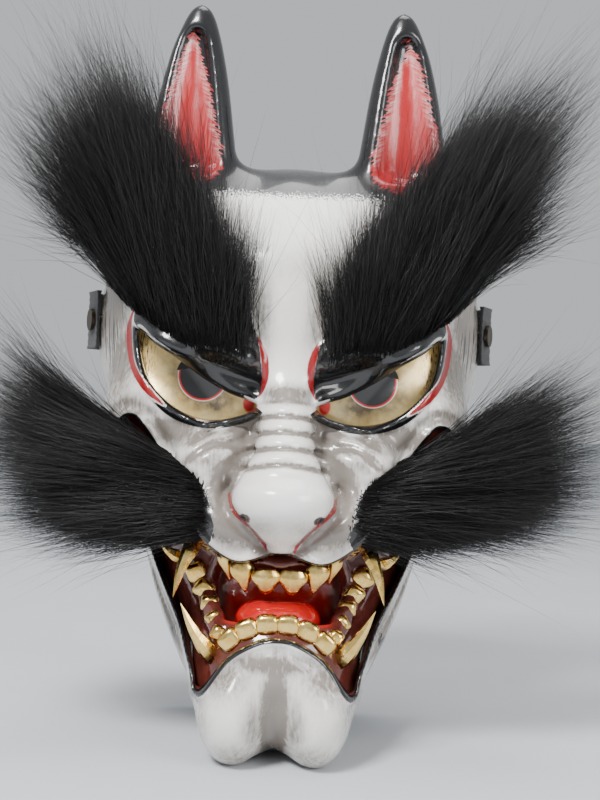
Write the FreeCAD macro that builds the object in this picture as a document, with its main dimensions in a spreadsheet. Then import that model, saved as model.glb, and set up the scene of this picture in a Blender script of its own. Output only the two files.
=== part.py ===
"""A fox-demon face mask in layered paper, with cupped ears, brass fangs, hair brows and moustaches.

Frame: +Z up, the face looks towards -Y, +X is on the viewer's right. The origin is on the mask's
middle line, in the plane of its rear rim, at eye level. All lengths are millimetres.
"""
import FreeCAD, Part
import math
import os

Vector = FreeCAD.Vector
SIDES = {"left": -1, "right": 1}            # as the viewer sees them

# Driving dimensions. The sheet holds them, and every sub-part reads its sizes from it.
DIMENSIONS = {
    "temple_half_width": 104.0, "face_depth": 76.0, "crown_top": 124.0,
    "shell_wall": 3.5, "fitting_gap": 0.4, "eye_plate_wall": 0.9, "gauze_wall": 0.6, "gauze_radius": 13.5,
    "lining_wall": 2.2,
    "pocket_half_width": 37.0, "pocket_radius": 27.0, "gum_radius": 4.6,
    "ear_base_half_width": 25.0, "ear_thickness": 17.0, "ear_wall": 4.5, "ear_spread": 57.0,
    "pupil_radius": 10.5, "nostril_radius": 2.6,
    "fang_length": 27.0, "fang_base_radius": 4.2, "fang_tip_radius": 0.5,
    "side_fang_length": 14.0, "side_fang_base_radius": 3.0,
    "upper_tooth_half_width": 6.3, "upper_tooth_radius": 6.2,
    "lower_tooth_half_width": 4.2, "lower_tooth_radius": 4.1,
    "molar_half_width": 4.3, "molar_radius": 3.3,
    "tongue_half_width": 21.0, "tongue_radius": 17.0,
    "hide_thickness": 1.6, "fur_half_thickness": 20.0,
    "brow_fur_half_length": 92.0, "brow_fur_half_width": 37.0,
    "moustache_fur_half_length": 61.0, "moustache_fur_half_width": 37.0,
    "pad_thickness": 9.0,
    "strap_width": 32.0, "strap_thickness": 2.4, "strap_bow": 66.0, "strap_height": 34.0,
    "rivet_radius": 2.5, "rivet_head_radius": 6.0, "rivet_head_height": 1.8,
    "rivet_hole_radius": 2.7,
}

doc = FreeCAD.newDocument("fox_mask")
sheet = doc.addObject("Spreadsheet::Sheet", "Sizes")
for line, (alias, value) in enumerate(DIMENSIONS.items(), 1):
    sheet.set(f"A{line}", alias)
    sheet.set(f"B{line}", str(value))
    sheet.setAlias(f"B{line}", alias)
doc.recompute()


def size(alias):
    """One cell of the sheet, in millimetres."""
    return float(getattr(sheet, alias))


# The head's form: stations of height against half-width, depth and squareness of the cross-section
# (2 is an ellipse), then the lumps that are pressed on to it. The lumps are given for +X and mirrored.
WIDEST = size("temple_half_width")
DEEP = size("face_depth")
HALF_WIDTHS = [(-184, 0.33), (-178, 0.385), (-150, 0.51), (-120, 0.644), (-85, 0.75), (-27, 0.904),
               (-2, 0.98), (23, 1.0), (60, 0.952), (90, 0.77)]
DEPTHS = [(-184, 1.21), (-150, 1.29), (-110, 1.21), (-60, 1.05), (-20, 1.0), (20, 0.974),
          (60, 0.974), (90, 0.79)]
SQUARENESS = [(-184, 2.4), (-60, 2.2), (-20, 2.0), (20, 1.8), (60, 1.9), (90, 2.0)]
CHIN_PLANE = (-166.0, 0.16)                 # height at the rim, and how far it falls per mm forward
CRANIUM_CENTRE_HEIGHT = 34.0
CRANIUM_DEPTH = 80.0
# balls: centre, radii, blend; rolls: two ends, two radii, blend
BALLS = {
    "cheekbone": ((70, -40, -14), (26, 26, 24), 16),
    "muzzle": ((38, -78, -40), (17, 15, 15), 18),
    "whisker_pad": ((26, -86, -68), (27, 20, 17), 12),
    "nose_ball": ((0, -109, -50), (27, 25, 19), 7),
    "nose_tip": ((0, -104, -64), (14, 16, 15), 8),
    "jaw": ((0, -80, -140), (44, 42, 42), 14),
    "chin_lobe": ((19, -100, -153), (20, 24, 30), 9),
}
ROLLS = {
    "inner_brow": ((24, -82, 13), (58, -66, 24), 9, 9, 10),
    "outer_brow": ((58, -66, 24), (92, -26, 56), 9, 7, 10),
    "nose_bridge": ((0, -70, 0), (0, -108, -46), 15, 20, 16),
    "upper_lip": ((0, -96, -81), (40, -85, -75), 9, 7, 9),
    "lower_lip": ((0, -110, -127), (34, -94, -147), 7, 6, 8),
}
EYE_SOCKET = ((46, -84, -2), (31, 17, 17), 8)
RAY_CENTRE = Vector(0, 0, -30)              # every point of the form is seen from here, once
POCKET_CENTRE = (0, -84, -101)
UPPER_GUM = ((0, -92, -87), (48, -76, -70))   # its middle and its right end
LOWER_GUM = ((0, -104, -124), (38, -88, -146))
RINGS, SPOKES = 17, 60                      # poles from rim to nose, and round the face

# Outlines seen from the front, for +X, in millimetres (x, z)
EYE_OUTLINE = [(17, -9), (31, -16), (46, -16), (61, -9), (74, 6), (79, 28), (70, 26), (58, 18),
               (44, 8), (31, -2)]
MOUTH_HALF = [(0, -81), (20, -87), (34, -80), (45, -68), (58, -47), (70, -31), (80, -28),
              (83, -42), (76, -66), (65, -92), (52, -116), (41, -137), (37, -147), (24, -130),
              (10, -121), (0, -119)]
BROW_OUTLINE = [(17, 21), (34, 20), (55, 30), (76, 44), (92, 58), (84, 74), (62, 62), (40, 46), (20, 42)]
MOUSTACHE_OUTLINE = [(36, -60), (46, -46), (62, -32), (72, -32), (64, -48), (54, -64), (42, -74)]
FOREHEAD_PAD_OUTLINE = [(-34, 66), (34, 66), (42, 80), (30, 92), (-30, 92), (-42, 80)]
CHIN_PAD_OUTLINE = [(-20, -152), (20, -152), (22, -142), (16, -134), (-16, -134), (-22, -142)]


def blended(a, b, soft):
    """The lower of two distances, with a fillet about `soft` wide."""
    share = min(max(0.5 + 0.5 * (b - a) / soft, 0.0), 1.0)
    return b + (a - b) * share - soft * share * (1.0 - share)


def at_height(stations, z):
    """A smooth curve through (height, value) stations."""
    z = min(max(z, stations[0][0]), stations[-1][0])
    k = 0
    while k < len(stations) - 2 and z > stations[k + 1][0]:
        k += 1

    def slope(n):
        low, high = stations[max(n - 1, 0)], stations[min(n + 1, len(stations) - 1)]
        return (high[1] - low[1]) / (high[0] - low[0])

    (z0, v0), (z1, v1) = stations[k], stations[k + 1]
    step = z1 - z0
    t = (z - z0) / step
    rise = t * t * (3 - 2 * t)
    return v0 + (v1 - v0) * rise + step * t * (1 - t) * ((1 - t) * slope(k) - t * slope(k + 1))


def ball(point, centre, radii):
    """About how far a point is outside an ellipsoid."""
    scaled = [(p - c) / r for p, c, r in zip(point, centre, radii)]
    near = math.sqrt(sum(v * v for v in scaled)) + 1e-9
    steep = math.sqrt(sum((v / r) ** 2 for v, r in zip(scaled, radii))) + 1e-9
    return near * (near - 1.0) / steep


def roll(point, start, end, start_radius, end_radius):
    """How far a point is outside a tapered, round-ended bar."""
    along = [b - a for a, b in zip(start, end)]
    share = sum((p - a) * d for p, a, d in zip(point, start, along)) / sum(d * d for d in along)
    share = min(max(share, 0.0), 1.0)
    reach = math.sqrt(sum((p - a - d * share) ** 2 for p, a, d in zip(point, start, along)))
    return reach - (start_radius + (end_radius - start_radius) * share)


def head_distance(x, y, z):
    """About how far a point is outside the head's painted surface."""
    x = abs(x)
    point = (x, y, z)
    wide = WIDEST * at_height(HALF_WIDTHS, z)
    deep = DEEP * at_height(DEPTHS, z)
    power = at_height(SQUARENESS, z)
    section = ((x / wide) ** power + (max(-y, 0.0) / deep) ** power) ** (1.0 / power)
    form = (section - 1.0) * min(wide, deep) * 0.8
    floor_height, fall = CHIN_PLANE
    form = -blended(-form, (z - floor_height) - fall * y, 26)
    form = -blended(-form, 78.0 - z, 20)
    top = size("crown_top") - CRANIUM_CENTRE_HEIGHT
    form = blended(form, ball(point, (0, 0, CRANIUM_CENTRE_HEIGHT), (WIDEST - 1, CRANIUM_DEPTH, top)), 14)
    for centre, radii, soft in BALLS.values():
        form = blended(form, ball(point, centre, radii), soft)
    for start, end, start_radius, end_radius, soft in ROLLS.values():
        form = blended(form, roll(point, start, end, start_radius, end_radius), soft)
    centre, radii, soft = EYE_SOCKET
    return -blended(-form, ball(point, centre, radii), soft)


def reach(direction, offset):
    """The length of a ray from the centre to where the head's surface, moved out by offset, lies."""
    length = 60.0
    for _ in range(60):
        where = RAY_CENTRE + direction * length
        miss = head_distance(where.x, where.y, where.z) - offset
        length -= miss * 0.8
        if abs(miss) < 0.01:
            break
    return length


def head_faces(offset):
    """The front of the head, moved out by offset: a smooth left and right half that end in the rim plane."""
    rows = []
    for ring in range(RINGS):
        tilt = math.radians(90.0 * (1.0 - ring / (RINGS - 1)))
        row = []
        for spoke in range(SPOKES):
            turn = 2 * math.pi * spoke / SPOKES - math.pi / 2
            direction = Vector(math.sin(tilt) * math.cos(turn), -math.cos(tilt), math.sin(tilt) * math.sin(turn))
            if ring == 0:
                direction.y = 0.0
            point = RAY_CENTRE + direction * reach(direction, offset)
            row.append(point)
        rows.append(row)
    inner_knots = RINGS - 4
    surface = Part.BSplineSurface()
    surface.buildFromPolesMultsKnots(
        rows, [4] + [1] * inner_knots + [4], [1] * (SPOKES + 1),
        [float(k) for k in range(inner_knots + 2)], [float(k) for k in range(SPOKES + 1)],
        False, True, 3, 3)
    halves = []
    for first, last in ((0, SPOKES // 2), (SPOKES // 2, SPOKES)):
        half = surface.copy()
        half.segment(0.0, float(inner_knots + 1), float(first), float(last))
        halves.append(half.toShape())
    return halves


def rim_edge(face):
    """The face's edge in the rim plane."""
    for edge in face.Edges:
        box = edge.BoundBox
        if not edge.Degenerated and abs(box.YMin) < 1e-6 and abs(box.YMax) < 1e-6:
            return edge
    raise RuntimeError("the head has no rim")


FORMS = {}


def head_form(offset):
    """The head, moved out by offset, as a closed solid with a flat back."""
    key = round(offset, 3)
    if key not in FORMS:
        halves = head_faces(offset)
        back = Part.Face(Part.Wire([rim_edge(half) for half in halves]))
        skin = Part.makeShell(halves + [back])
        skin.sewShape()
        solid = Part.Solid(skin)
        solid.fix(1e-4, 1e-4, 1e-3)
        FORMS[key] = solid
    return FORMS[key].copy()


def layer(outer, inner):
    """What lies between two offsets of the head."""
    return head_form(outer).cut(head_form(inner))


def mirrored(points, side):
    return [(side * x, z) for x, z in points]


def prism(points, front=-200.0, rear=20.0):
    """A closed outline in X and Z, run through from front to rear."""
    corners = [Vector(x, front, z) for x, z in points]
    curve = Part.BSplineCurve()
    curve.interpolate(corners, PeriodicFlag=True)
    start, end = curve.FirstParameter, curve.LastParameter
    curve.setNotPeriodic()
    edges = []
    for first, last in ((start, (start + end) / 2), ((start + end) / 2, end)):
        part = curve.copy()
        part.segment(first, last)
        edges.append(part.toShape())
    return Part.Face(Part.Wire(edges)).extrude(Vector(0, rear - front, 0))


def grown(points, step):
    """The outline pushed out from its middle by about step."""
    middle_x = sum(x for x, _ in points) / len(points)
    middle_z = sum(z for _, z in points) / len(points)
    pushed = []
    for x, z in points:
        gap = math.hypot(x - middle_x, z - middle_z)
        share = 1.0 + step / gap
        pushed.append((middle_x + (x - middle_x) * share, middle_z + (z - middle_z) * share))
    return pushed


def mouth_outline():
    """The mouth's opening, both halves."""
    return MOUTH_HALF + [(-x, z) for x, z in reversed(MOUTH_HALF[1:-1])]


def biggest(shape):
    """The largest solid of a shape that a cut has left in bits."""
    return max(shape.Solids, key=lambda solid: solid.Volume)


def add(label, shape):
    """A sculpted sub-part: its shape, then its place, which the shape brings with it."""
    item = doc.addObject("Part::Feature", label)
    item.Label = label
    item.Shape = shape
    item.Placement = shape.Placement
    return item


def bound(item, **cells):
    """Bind an object's sizes to cells of the sheet."""
    for name, expression in cells.items():
        item.setExpression(name, expression)
    return item


def aimed(base, towards, axis=Vector(0, 0, 1)):
    """A placement at base, with the object's own axis turned to point at towards."""
    return FreeCAD.Placement(base, FreeCAD.Rotation(axis, towards - base))


# ---------------------------------------------------------------- the paper shell and its ears
def ear_solid(side, extra):
    """One ear's outer form: ellipses stacked up from the crown, drawn in to a round tip."""
    base = size("ear_base_half_width")
    thick = size("ear_thickness")
    spread = size("ear_spread")
    # height, sideways shift, Y of the centre, share of the base's width and thickness
    stack = [(88, -2.0, -26, 1.10, 1.12), (112, -1.0, -27, 1.03, 1.0), (135, 0.0, -26, 0.93, 0.88),
             (160, 0.6, -24, 0.80, 0.76), (182, 0.2, -22, 0.62, 0.64), (198, -0.6, -20, 0.42, 0.5),
             (207, -1.2, -19, 0.22, 0.3)]
    rings = []
    for height, shift, depth, wide_share, thick_share in stack:
        wide = base * wide_share + extra
        deep = thick * thick_share + extra
        ring = Part.Ellipse(Vector(0, 0, 0), max(wide, deep), min(wide, deep)).toShape()
        ring.Placement = FreeCAD.Placement(Vector(side * (spread + shift), depth, height), FreeCAD.Rotation())
        rings.append(Part.Wire([ring]))
    tip = Part.Vertex(Vector(side * (spread - 1.4), -18.5, 211.0 + extra))
    return Part.makeLoft(rings + [tip], True, False)


def ear_cup(side):
    """The hollow in the front of an ear: an ellipsoid let in, leaving a wall behind and beside it."""
    base = size("ear_base_half_width") - size("ear_wall")
    cup = Part.makeSphere(1.0)
    stretch = FreeCAD.Matrix()
    stretch.scale(base * 0.92, size("ear_thickness"), 62.0)
    cup = cup.transformGeometry(stretch)
    cup.Placement = FreeCAD.Placement(
        Vector(side * size("ear_spread"), -27.0 - size("ear_thickness") * 0.62, 136.0),
        FreeCAD.Rotation(Vector(1, 0, 0), -7))
    return cup


def make_ears():
    for name, side in SIDES.items():
        ear = ear_solid(side, 0.0).cut(ear_cup(side)).cut(head_form(size("fitting_gap") / 4))
        add(f"{name}_ear", biggest(ear))


def make_shell():
    """The shell: a wall that follows the head, open at the back, the eyes, the mouth and the nostrils."""
    shell = layer(0.0, -size("shell_wall"))
    shell = shell.cut(prism(mouth_outline()))
    for side in SIDES.values():
        shell = shell.cut(prism(mirrored(EYE_OUTLINE, side)))
        nostril = Part.makeCylinder(size("nostril_radius"), 60, Vector(side * 17.5, -136, -62), Vector(0, 1, 0.2))
        shell = shell.cut(nostril)
        shell = shell.cut(rivet_hole(side))
    return add("face_shell", biggest(shell))


# ---------------------------------------------------------------- eyes and mouth
def make_eye_plates():
    """Thin brass plates behind the eye openings, each with a round hole and black gauze behind it."""
    gap = size("shell_wall") + size("fitting_gap")
    sheet_metal = layer(-gap, -gap - size("eye_plate_wall"))
    behind = gap + size("eye_plate_wall") + size("fitting_gap")
    gauze = layer(-behind, -behind - size("gauze_wall"))
    for name, side in SIDES.items():
        plate = sheet_metal.common(prism(mirrored(grown(EYE_OUTLINE, 4.0), side)))
        pupil = Part.makeCylinder(size("pupil_radius"), 120, Vector(side * 45, -130, 3), Vector(0, 1, 0))
        add(f"{name}_eye_plate", biggest(plate.cut(pupil)))
        patch = Part.makeCylinder(size("gauze_radius"), 120, Vector(side * 45, -130, 3), Vector(0, 1, 0))
        add(f"{name}_pupil_gauze", biggest(gauze.common(patch)))


def egg(centre, half_width, radius):
    """An ellipsoid of revolution about a line along X, with its poles at the front and rear."""
    stretch = FreeCAD.Matrix()
    stretch.scale(half_width, radius, radius)
    solid = Part.makeSphere(1.0).transformGeometry(stretch)
    solid.Placement = FreeCAD.Placement(centre, FreeCAD.Rotation(Vector(1, 0, 0), 90))
    return solid


def pocket(extra):
    """The deep middle of the mouth, larger by extra."""
    return egg(Vector(*POCKET_CENTRE), size("pocket_half_width") + extra, size("pocket_radius") + extra)


def gum_line(middle, end):
    """The arc of a gum: it bows forward from cheek to cheek."""
    return Part.Arc(Vector(-end[0], end[1], end[2]), Vector(*middle), Vector(*end))


def gum(middle, end, radius):
    """A round ridge along a gum's arc."""
    arc = gum_line(middle, end)
    start = arc.value(arc.FirstParameter)
    tangent = arc.tangent(arc.FirstParameter)[0]
    disc = Part.Face(Part.Wire([Part.Circle(start, tangent, radius).toShape()]))
    return Part.Wire([arc.toShape()]).makePipe(disc)


def make_mouth_lining():
    """The lacquered inside of the mouth: a rim behind the lips, a pocket, and two ridges of gum."""
    gap = size("shell_wall") + size("fitting_gap")
    rim = layer(-gap, -gap - size("lining_wall")).common(prism(grown(mouth_outline(), 6.0)))
    bowl = pocket(size("lining_wall")).common(head_form(-gap))
    lining = rim.fuse(bowl).cut(pocket(0.0))
    for middle, end in (UPPER_GUM, LOWER_GUM):
        lining = lining.fuse(gum(middle, end, size("gum_radius")))
    return add("mouth_lining", biggest(lining))


def make_tongue():
    """The tongue: a rounded lump on the pocket's floor."""
    middle = Vector(*POCKET_CENTRE) + Vector(0, -1, -20)
    lump = egg(middle, size("tongue_half_width"), size("tongue_radius"))
    return add("tongue", biggest(lump.common(pocket(-size("fitting_gap") * 1.5))))


def front_at(x, z, offset):
    """Y of the head's surface, moved out by offset, seen from the front at x and z."""
    y = 0.0
    for _ in range(200):
        miss = head_distance(x, y, z) - offset
        y += miss * 0.7
        if abs(miss) < 0.01:
            break
    return y


def lining_at(x, z):
    """A point on the front of the mouth's lining."""
    return Vector(x, front_at(x, z, -size("shell_wall") - size("fitting_gap")), z)


def make_fangs(lining):
    """Six brass fangs, each a cone with its foot set in the lining."""
    # foot (x, z), lean towards the tip, and the cells of their length and foot radius
    places = {
        "upper_{}_fang": ((43, -80), Vector(8, -12, -23), "fang_length", "fang_base_radius"),
        "lower_{}_fang": ((33, -131), Vector(13, -9, 24), "fang_length", "fang_base_radius"),
        "upper_{}_side_fang": ((51, -87), Vector(8, -6, 7), "side_fang_length", "side_fang_base_radius"),
    }
    for pattern, ((x, z), lean, length, radius) in places.items():
        for name, side in SIDES.items():
            label = pattern.format(name)
            cone = bound(doc.addObject("Part::Cone", label + "_blank"), Radius1=f"Sizes.{radius}",
                         Radius2="Sizes.fang_tip_radius", Height=f"Sizes.{length}")
            foot = lining_at(side * x, z)
            cone.Placement = aimed(foot, foot + Vector(side * lean.x, lean.y, lean.z))
            doc.recompute()
            add(label, biggest(cone.Shape.cut(lining.Shape)))


def tooth_row(label, centres, wide, radius):
    """A row of rounded teeth, each its own solid, in one node."""
    return add(label, Part.makeCompound([egg(centre, size(wide), size(radius)) for centre in centres]))


def make_teeth():
    """The front teeth and the molars, in curved rows along the gums."""
    gap = size("gum_radius") + size("fitting_gap")
    for jaw, (middle, end), up, pitch in (("upper", UPPER_GUM, -1, 13.2), ("lower", LOWER_GUM, 1, 9.0)):
        arc = gum_line(middle, end)
        stand = Vector(0, 0, up * (gap + size(f"{jaw}_tooth_radius")))
        half = arc.length() / 2
        feet = [arc.value(arc.parameterAtDistance(half + k * pitch)) for k in (-2.5, -1.5, -0.5, 0.5, 1.5, 2.5)]
        tooth_row(f"{jaw}_front_teeth", [foot + stand for foot in feet],
                  f"{jaw}_tooth_half_width", f"{jaw}_tooth_radius")
    proud = Vector(0, -size("molar_radius") - 1.5, 0)
    for name, side in SIDES.items():
        low = [lining_at(side * (41.0 - 3.0 * k), -98.5 - 7.0 * k) + proud for k in range(4)]
        high = [lining_at(side * (55.0 + 8.0 * k), -77.0 + 8.0 * k) + proud for k in range(2)]
        tooth_row(f"lower_{name}_molars", low, "molar_half_width", "molar_radius")
        tooth_row(f"upper_{name}_molars", high, "molar_half_width", "molar_radius")


# ---------------------------------------------------------------- hides, fur and pads
def make_hair():
    """Hide strips glued to the brows and cheeks, and the room that their long hair fills."""
    glue = size("fitting_gap") / 2
    outer = glue + size("hide_thickness")
    skin = layer(outer, glue)
    clear = head_form(outer + size("fitting_gap"))
    tufts = {
        "brow": (BROW_OUTLINE, {"left": (Vector(-38, -82, 22), Vector(-146, -56, 160)),
                                "right": (Vector(38, -82, 22), Vector(148, -56, 166))}),
        "moustache": (MOUSTACHE_OUTLINE, {"left": (Vector(-42, -96, -56), Vector(-148, -62, -42)),
                                          "right": (Vector(42, -96, -56), Vector(150, -62, -20))}),
    }
    for kind, (outline, runs) in tufts.items():
        for name, side in SIDES.items():
            hide = skin.common(prism(mirrored(outline, side)))
            add(f"{name}_{kind}_hide", biggest(hide))
            root, tip = runs[name]
            room = bound(doc.addObject("Part::Ellipsoid", f"{name}_{kind}_room"),
                         Radius1="Sizes.fur_half_thickness", Radius2=f"Sizes.{kind}_fur_half_length",
                         Radius3=f"Sizes.{kind}_fur_half_width")
            room.Angle1 = -90
            run = tip - root
            across = run.cross(Vector(0, -1, 0))
            room.Placement = FreeCAD.Placement((root + tip) * 0.5,
                                               FreeCAD.Rotation(run, across, run.cross(across), "XYZ"))
            doc.recompute()
            fur = room.Shape.cut(clear)
            if kind == "brow":
                fur = fur.cut(ear_solid(side, size("fitting_gap")))
            add(f"{name}_{kind}_fur", biggest(fur))


def make_pads():
    """Felt pads against the shell's inside, at the forehead and the chin."""
    outer = size("shell_wall") + size("fitting_gap")
    felt = layer(-outer, -outer - size("pad_thickness"))
    add("forehead_pad", biggest(felt.common(prism(FOREHEAD_PAD_OUTLINE))))
    add("chin_pad", biggest(felt.common(prism(CHIN_PAD_OUTLINE, front=-90.0, rear=-40.0))))


# ---------------------------------------------------------------- strap
STRAP_BEND = Vector(WIDEST + 9.0, 0, 0)       # where the band clears the rim
STRAP_END = Vector(WIDEST + 0.6, -20.0, 0)    # its front end, against the temple


def strap_axis(side):
    """The line of a rivet: a point on the band's inner face, and the way out of the head."""
    along = STRAP_END - STRAP_BEND
    spot = STRAP_BEND + along * 0.6
    out = Vector(-along.y, along.x, 0).normalize()
    return Vector(side * spot.x, spot.y, size("strap_height")), Vector(side * out.x, out.y, 0)


def rivet_hole(side):
    spot, out = strap_axis(side)
    return Part.makeCylinder(size("rivet_hole_radius"), 40, spot - out * 20, out)


def make_strap():
    """A flat band round the back of the head: one bowed profile, padded to the band's width."""
    body = doc.addObject("PartDesign::Body", "strap_blank")
    plane = next(o for o in body.Origin.OriginFeatures if o.Role == "XY_Plane")
    profile = body.newObject("Sketcher::SketchObject", "strap_profile")
    profile.AttachmentSupport = (plane, "")
    profile.MapMode = "FlatFace"
    bow = size("strap_bow")
    thick = size("strap_thickness")
    for extra, crest in ((0.0, bow - thick), (thick, bow)):
        start = STRAP_BEND + Vector(extra, 0, 0)
        profile.addGeometry(Part.Arc(start, Vector(0, crest, 0), Vector(-start.x, 0, 0)))
    for side in SIDES.values():
        inner = [Vector(side * p.x, p.y, 0) for p in (STRAP_BEND, STRAP_END)]
        outer = [p + Vector(side * thick, 0, 0) for p in inner]
        for start, end in ((inner[0], inner[1]), (inner[1], outer[1]), (outer[1], outer[0])):
            profile.addGeometry(Part.LineSegment(start, end))
    pad = body.newObject("PartDesign::Pad", "strap_band")
    pad.Profile = profile
    bound(pad, Length="Sizes.strap_width")
    pad.Midplane = True
    body.Placement = FreeCAD.Placement(Vector(0, 0, size("strap_height")), FreeCAD.Rotation())
    doc.recompute()
    band = body.Shape
    for side in SIDES.values():
        band = band.cut(rivet_hole(side))
    add("head_strap", biggest(band))


def make_rivets():
    """A rivet at each temple: a pin through shell and band, with a head outside and one inside."""
    head = size("rivet_head_height")
    for name, side in SIDES.items():
        spot, out = strap_axis(side)
        stand = head_distance(spot.x, spot.y, spot.z)
        inside = stand + size("shell_wall") + 1.2
        pin = Part.makeCylinder(size("rivet_radius"), inside + 3.2, spot - out * inside, out)
        outer = Part.makeCylinder(size("rivet_head_radius"), head, spot + out * 2.6, out)
        inner = Part.makeCylinder(size("rivet_head_radius"), head, spot - out * (inside + head - 0.1), out)
        add(f"{name}_strap_rivet", biggest(pin.fuse(outer).fuse(inner)))


# ---------------------------------------------------------------- build, test and write
make_shell()
make_ears()
make_eye_plates()
lining = make_mouth_lining()
make_tongue()
make_fangs(lining)
make_teeth()
make_hair()
make_pads()
make_strap()
make_rivets()
doc.recompute()

parts = []
for item in doc.Objects:
    if "Invalid" in item.State or "Error" in item.State:
        raise RuntimeError(f"{item.Label} failed to recompute")
    if item.TypeId == "Part::Feature":
        parts.append(item)
os.makedirs("parts", exist_ok=True)
for item in parts:
    if item.Shape.isNull() or not item.Shape.isValid():
        raise RuntimeError(f"{item.Label} has no valid shape")
    item.Shape.exportStep(f"parts/{item.Label}.step")
    box = item.Shape.BoundBox
    print(f"{item.Label:24s} {len(item.Shape.Solids)} solids {item.Shape.Volume / 1000:9.2f} cm3  "
          f"X {box.XMin:.0f}..{box.XMax:.0f} Y {box.YMin:.0f}..{box.YMax:.0f} Z {box.ZMin:.0f}..{box.ZMax:.0f}")
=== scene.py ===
"""Looks of the fox-demon mask: a sculpted, painted and lacquered shell, brass teeth, hair and strap.

Lengths in this script are millimetres in the CAD frame (+Z up, the face looks to -Y), turned into
metres when a mesh is made.
"""
import math

import bpy
import numpy as np
import openvdb
from mathutils import Matrix, Vector


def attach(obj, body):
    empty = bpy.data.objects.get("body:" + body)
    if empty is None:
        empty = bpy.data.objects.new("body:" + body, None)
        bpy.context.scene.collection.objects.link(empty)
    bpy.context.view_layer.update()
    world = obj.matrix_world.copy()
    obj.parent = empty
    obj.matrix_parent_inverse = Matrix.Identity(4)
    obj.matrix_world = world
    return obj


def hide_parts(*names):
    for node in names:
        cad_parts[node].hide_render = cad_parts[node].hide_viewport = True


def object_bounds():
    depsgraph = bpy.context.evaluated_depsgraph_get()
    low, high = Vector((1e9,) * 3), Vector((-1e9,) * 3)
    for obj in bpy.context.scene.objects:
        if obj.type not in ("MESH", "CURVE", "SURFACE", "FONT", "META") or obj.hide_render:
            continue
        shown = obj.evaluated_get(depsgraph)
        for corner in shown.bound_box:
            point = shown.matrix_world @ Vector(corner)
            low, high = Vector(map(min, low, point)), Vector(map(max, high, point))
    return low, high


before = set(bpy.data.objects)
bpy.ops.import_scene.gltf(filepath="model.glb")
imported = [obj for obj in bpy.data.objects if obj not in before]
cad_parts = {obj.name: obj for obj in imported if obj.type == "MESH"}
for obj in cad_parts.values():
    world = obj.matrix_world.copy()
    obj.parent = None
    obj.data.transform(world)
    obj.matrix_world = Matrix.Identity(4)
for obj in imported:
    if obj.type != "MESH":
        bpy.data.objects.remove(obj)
cad_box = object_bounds()
MM = 0.001
SIDES = {"left": -1.0, "right": 1.0}          # as the viewer sees them


# ------------------------------------------------------------------ distance fields and curves
def smin(a, b, soft):
    share = np.clip(0.5 + 0.5 * (b - a) / soft, 0.0, 1.0)
    return b + (a - b) * share - soft * share * (1.0 - share)


def smax(a, b, soft):
    return -smin(-a, -b, soft)


def step(value, low, high):
    """0 below low, 1 above high, smooth between."""
    t = np.clip((value - low) / (high - low), 0.0, 1.0)
    return t * t * (3.0 - 2.0 * t)


def bell(value, width):
    return np.exp(-(value / width) ** 2)


def at_height(stations, z):
    """A smooth curve through (height, value) stations."""
    heights = np.array([s[0] for s in stations], float)
    values = np.array([s[1] for s in stations], float)
    slopes = np.gradient(values, heights)
    slopes[1:-1] = (values[2:] - values[:-2]) / (heights[2:] - heights[:-2])
    z = np.clip(z, heights[0], heights[-1])
    k = np.clip(np.searchsorted(heights, z) - 1, 0, len(heights) - 2)
    gap = heights[k + 1] - heights[k]
    t = (z - heights[k]) / gap
    rise = t * t * (3 - 2 * t)
    return (values[k] + (values[k + 1] - values[k]) * rise
            + gap * t * (1 - t) * ((1 - t) * slopes[k] - t * slopes[k + 1]))


def ball(p, centre, radii):
    """About how far points are outside an ellipsoid."""
    scaled = [(v - c) / r for v, c, r in zip(p, centre, radii)]
    near = np.sqrt(sum(v * v for v in scaled)) + 1e-9
    steep = np.sqrt(sum((v / r) ** 2 for v, r in zip(scaled, radii))) + 1e-9
    return near * (near - 1.0) / steep


def roll(p, start, end, start_radius, end_radius):
    """How far points are outside a tapered, round-ended bar."""
    along = [b - a for a, b in zip(start, end)]
    share = sum((v - a) * d for v, a, d in zip(p, start, along)) / sum(d * d for d in along)
    share = np.clip(share, 0.0, 1.0)
    gap = np.sqrt(sum((v - a - d * share) ** 2 for v, a, d in zip(p, start, along)))
    return gap - (start_radius + (end_radius - start_radius) * share)


def closed_curve(points, steps=6):
    """A smooth closed line through the points."""
    p = np.array(points, float)
    before, after, beyond = np.roll(p, 1, 0), np.roll(p, -1, 0), np.roll(p, -2, 0)
    rows = []
    for t in np.arange(steps) / steps:
        rows.append(0.5 * (2 * p + (after - before) * t + (2 * before - 5 * p + 4 * after - beyond) * t ** 2
                           + (3 * p - before - 3 * after + beyond) * t ** 3))
    return np.stack(rows, 1).reshape(-1, p.shape[1])


def open_curve(points, steps=8):
    """A smooth open line through the points."""
    p = np.array(points, float)
    ends = np.vstack([2 * p[0] - p[1], p, 2 * p[-1] - p[-2]])
    rows = []
    for k in range(len(p) - 1):
        a, b, c, d = ends[k:k + 4]
        for t in np.arange(steps) / steps:
            rows.append(0.5 * (2 * b + (c - a) * t + (2 * a - 5 * b + 4 * c - d) * t ** 2
                               + (3 * b - a - 3 * c + d) * t ** 3))
    rows.append(p[-1])
    return np.array(rows)


def to_line(x, z, line, closed=False):
    """Distance to a line in the front view, and how far along it (0 to 1) the nearest point is."""
    pairs = list(zip(line, np.roll(line, -1, 0))) if closed else list(zip(line[:-1], line[1:]))
    best = np.full(np.shape(x), 1e9)
    along = np.zeros(np.shape(x))
    for k, (a, b) in enumerate(pairs):
        d = b - a
        t = np.clip(((x - a[0]) * d[0] + (z - a[1]) * d[1]) / (d @ d + 1e-12), 0, 1)
        gap = (x - a[0] - d[0] * t) ** 2 + (z - a[1] - d[1] * t) ** 2
        nearer = gap < best
        best = np.where(nearer, gap, best)
        along = np.where(nearer, (k + t) / len(pairs), along)
    return np.sqrt(best), along


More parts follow.
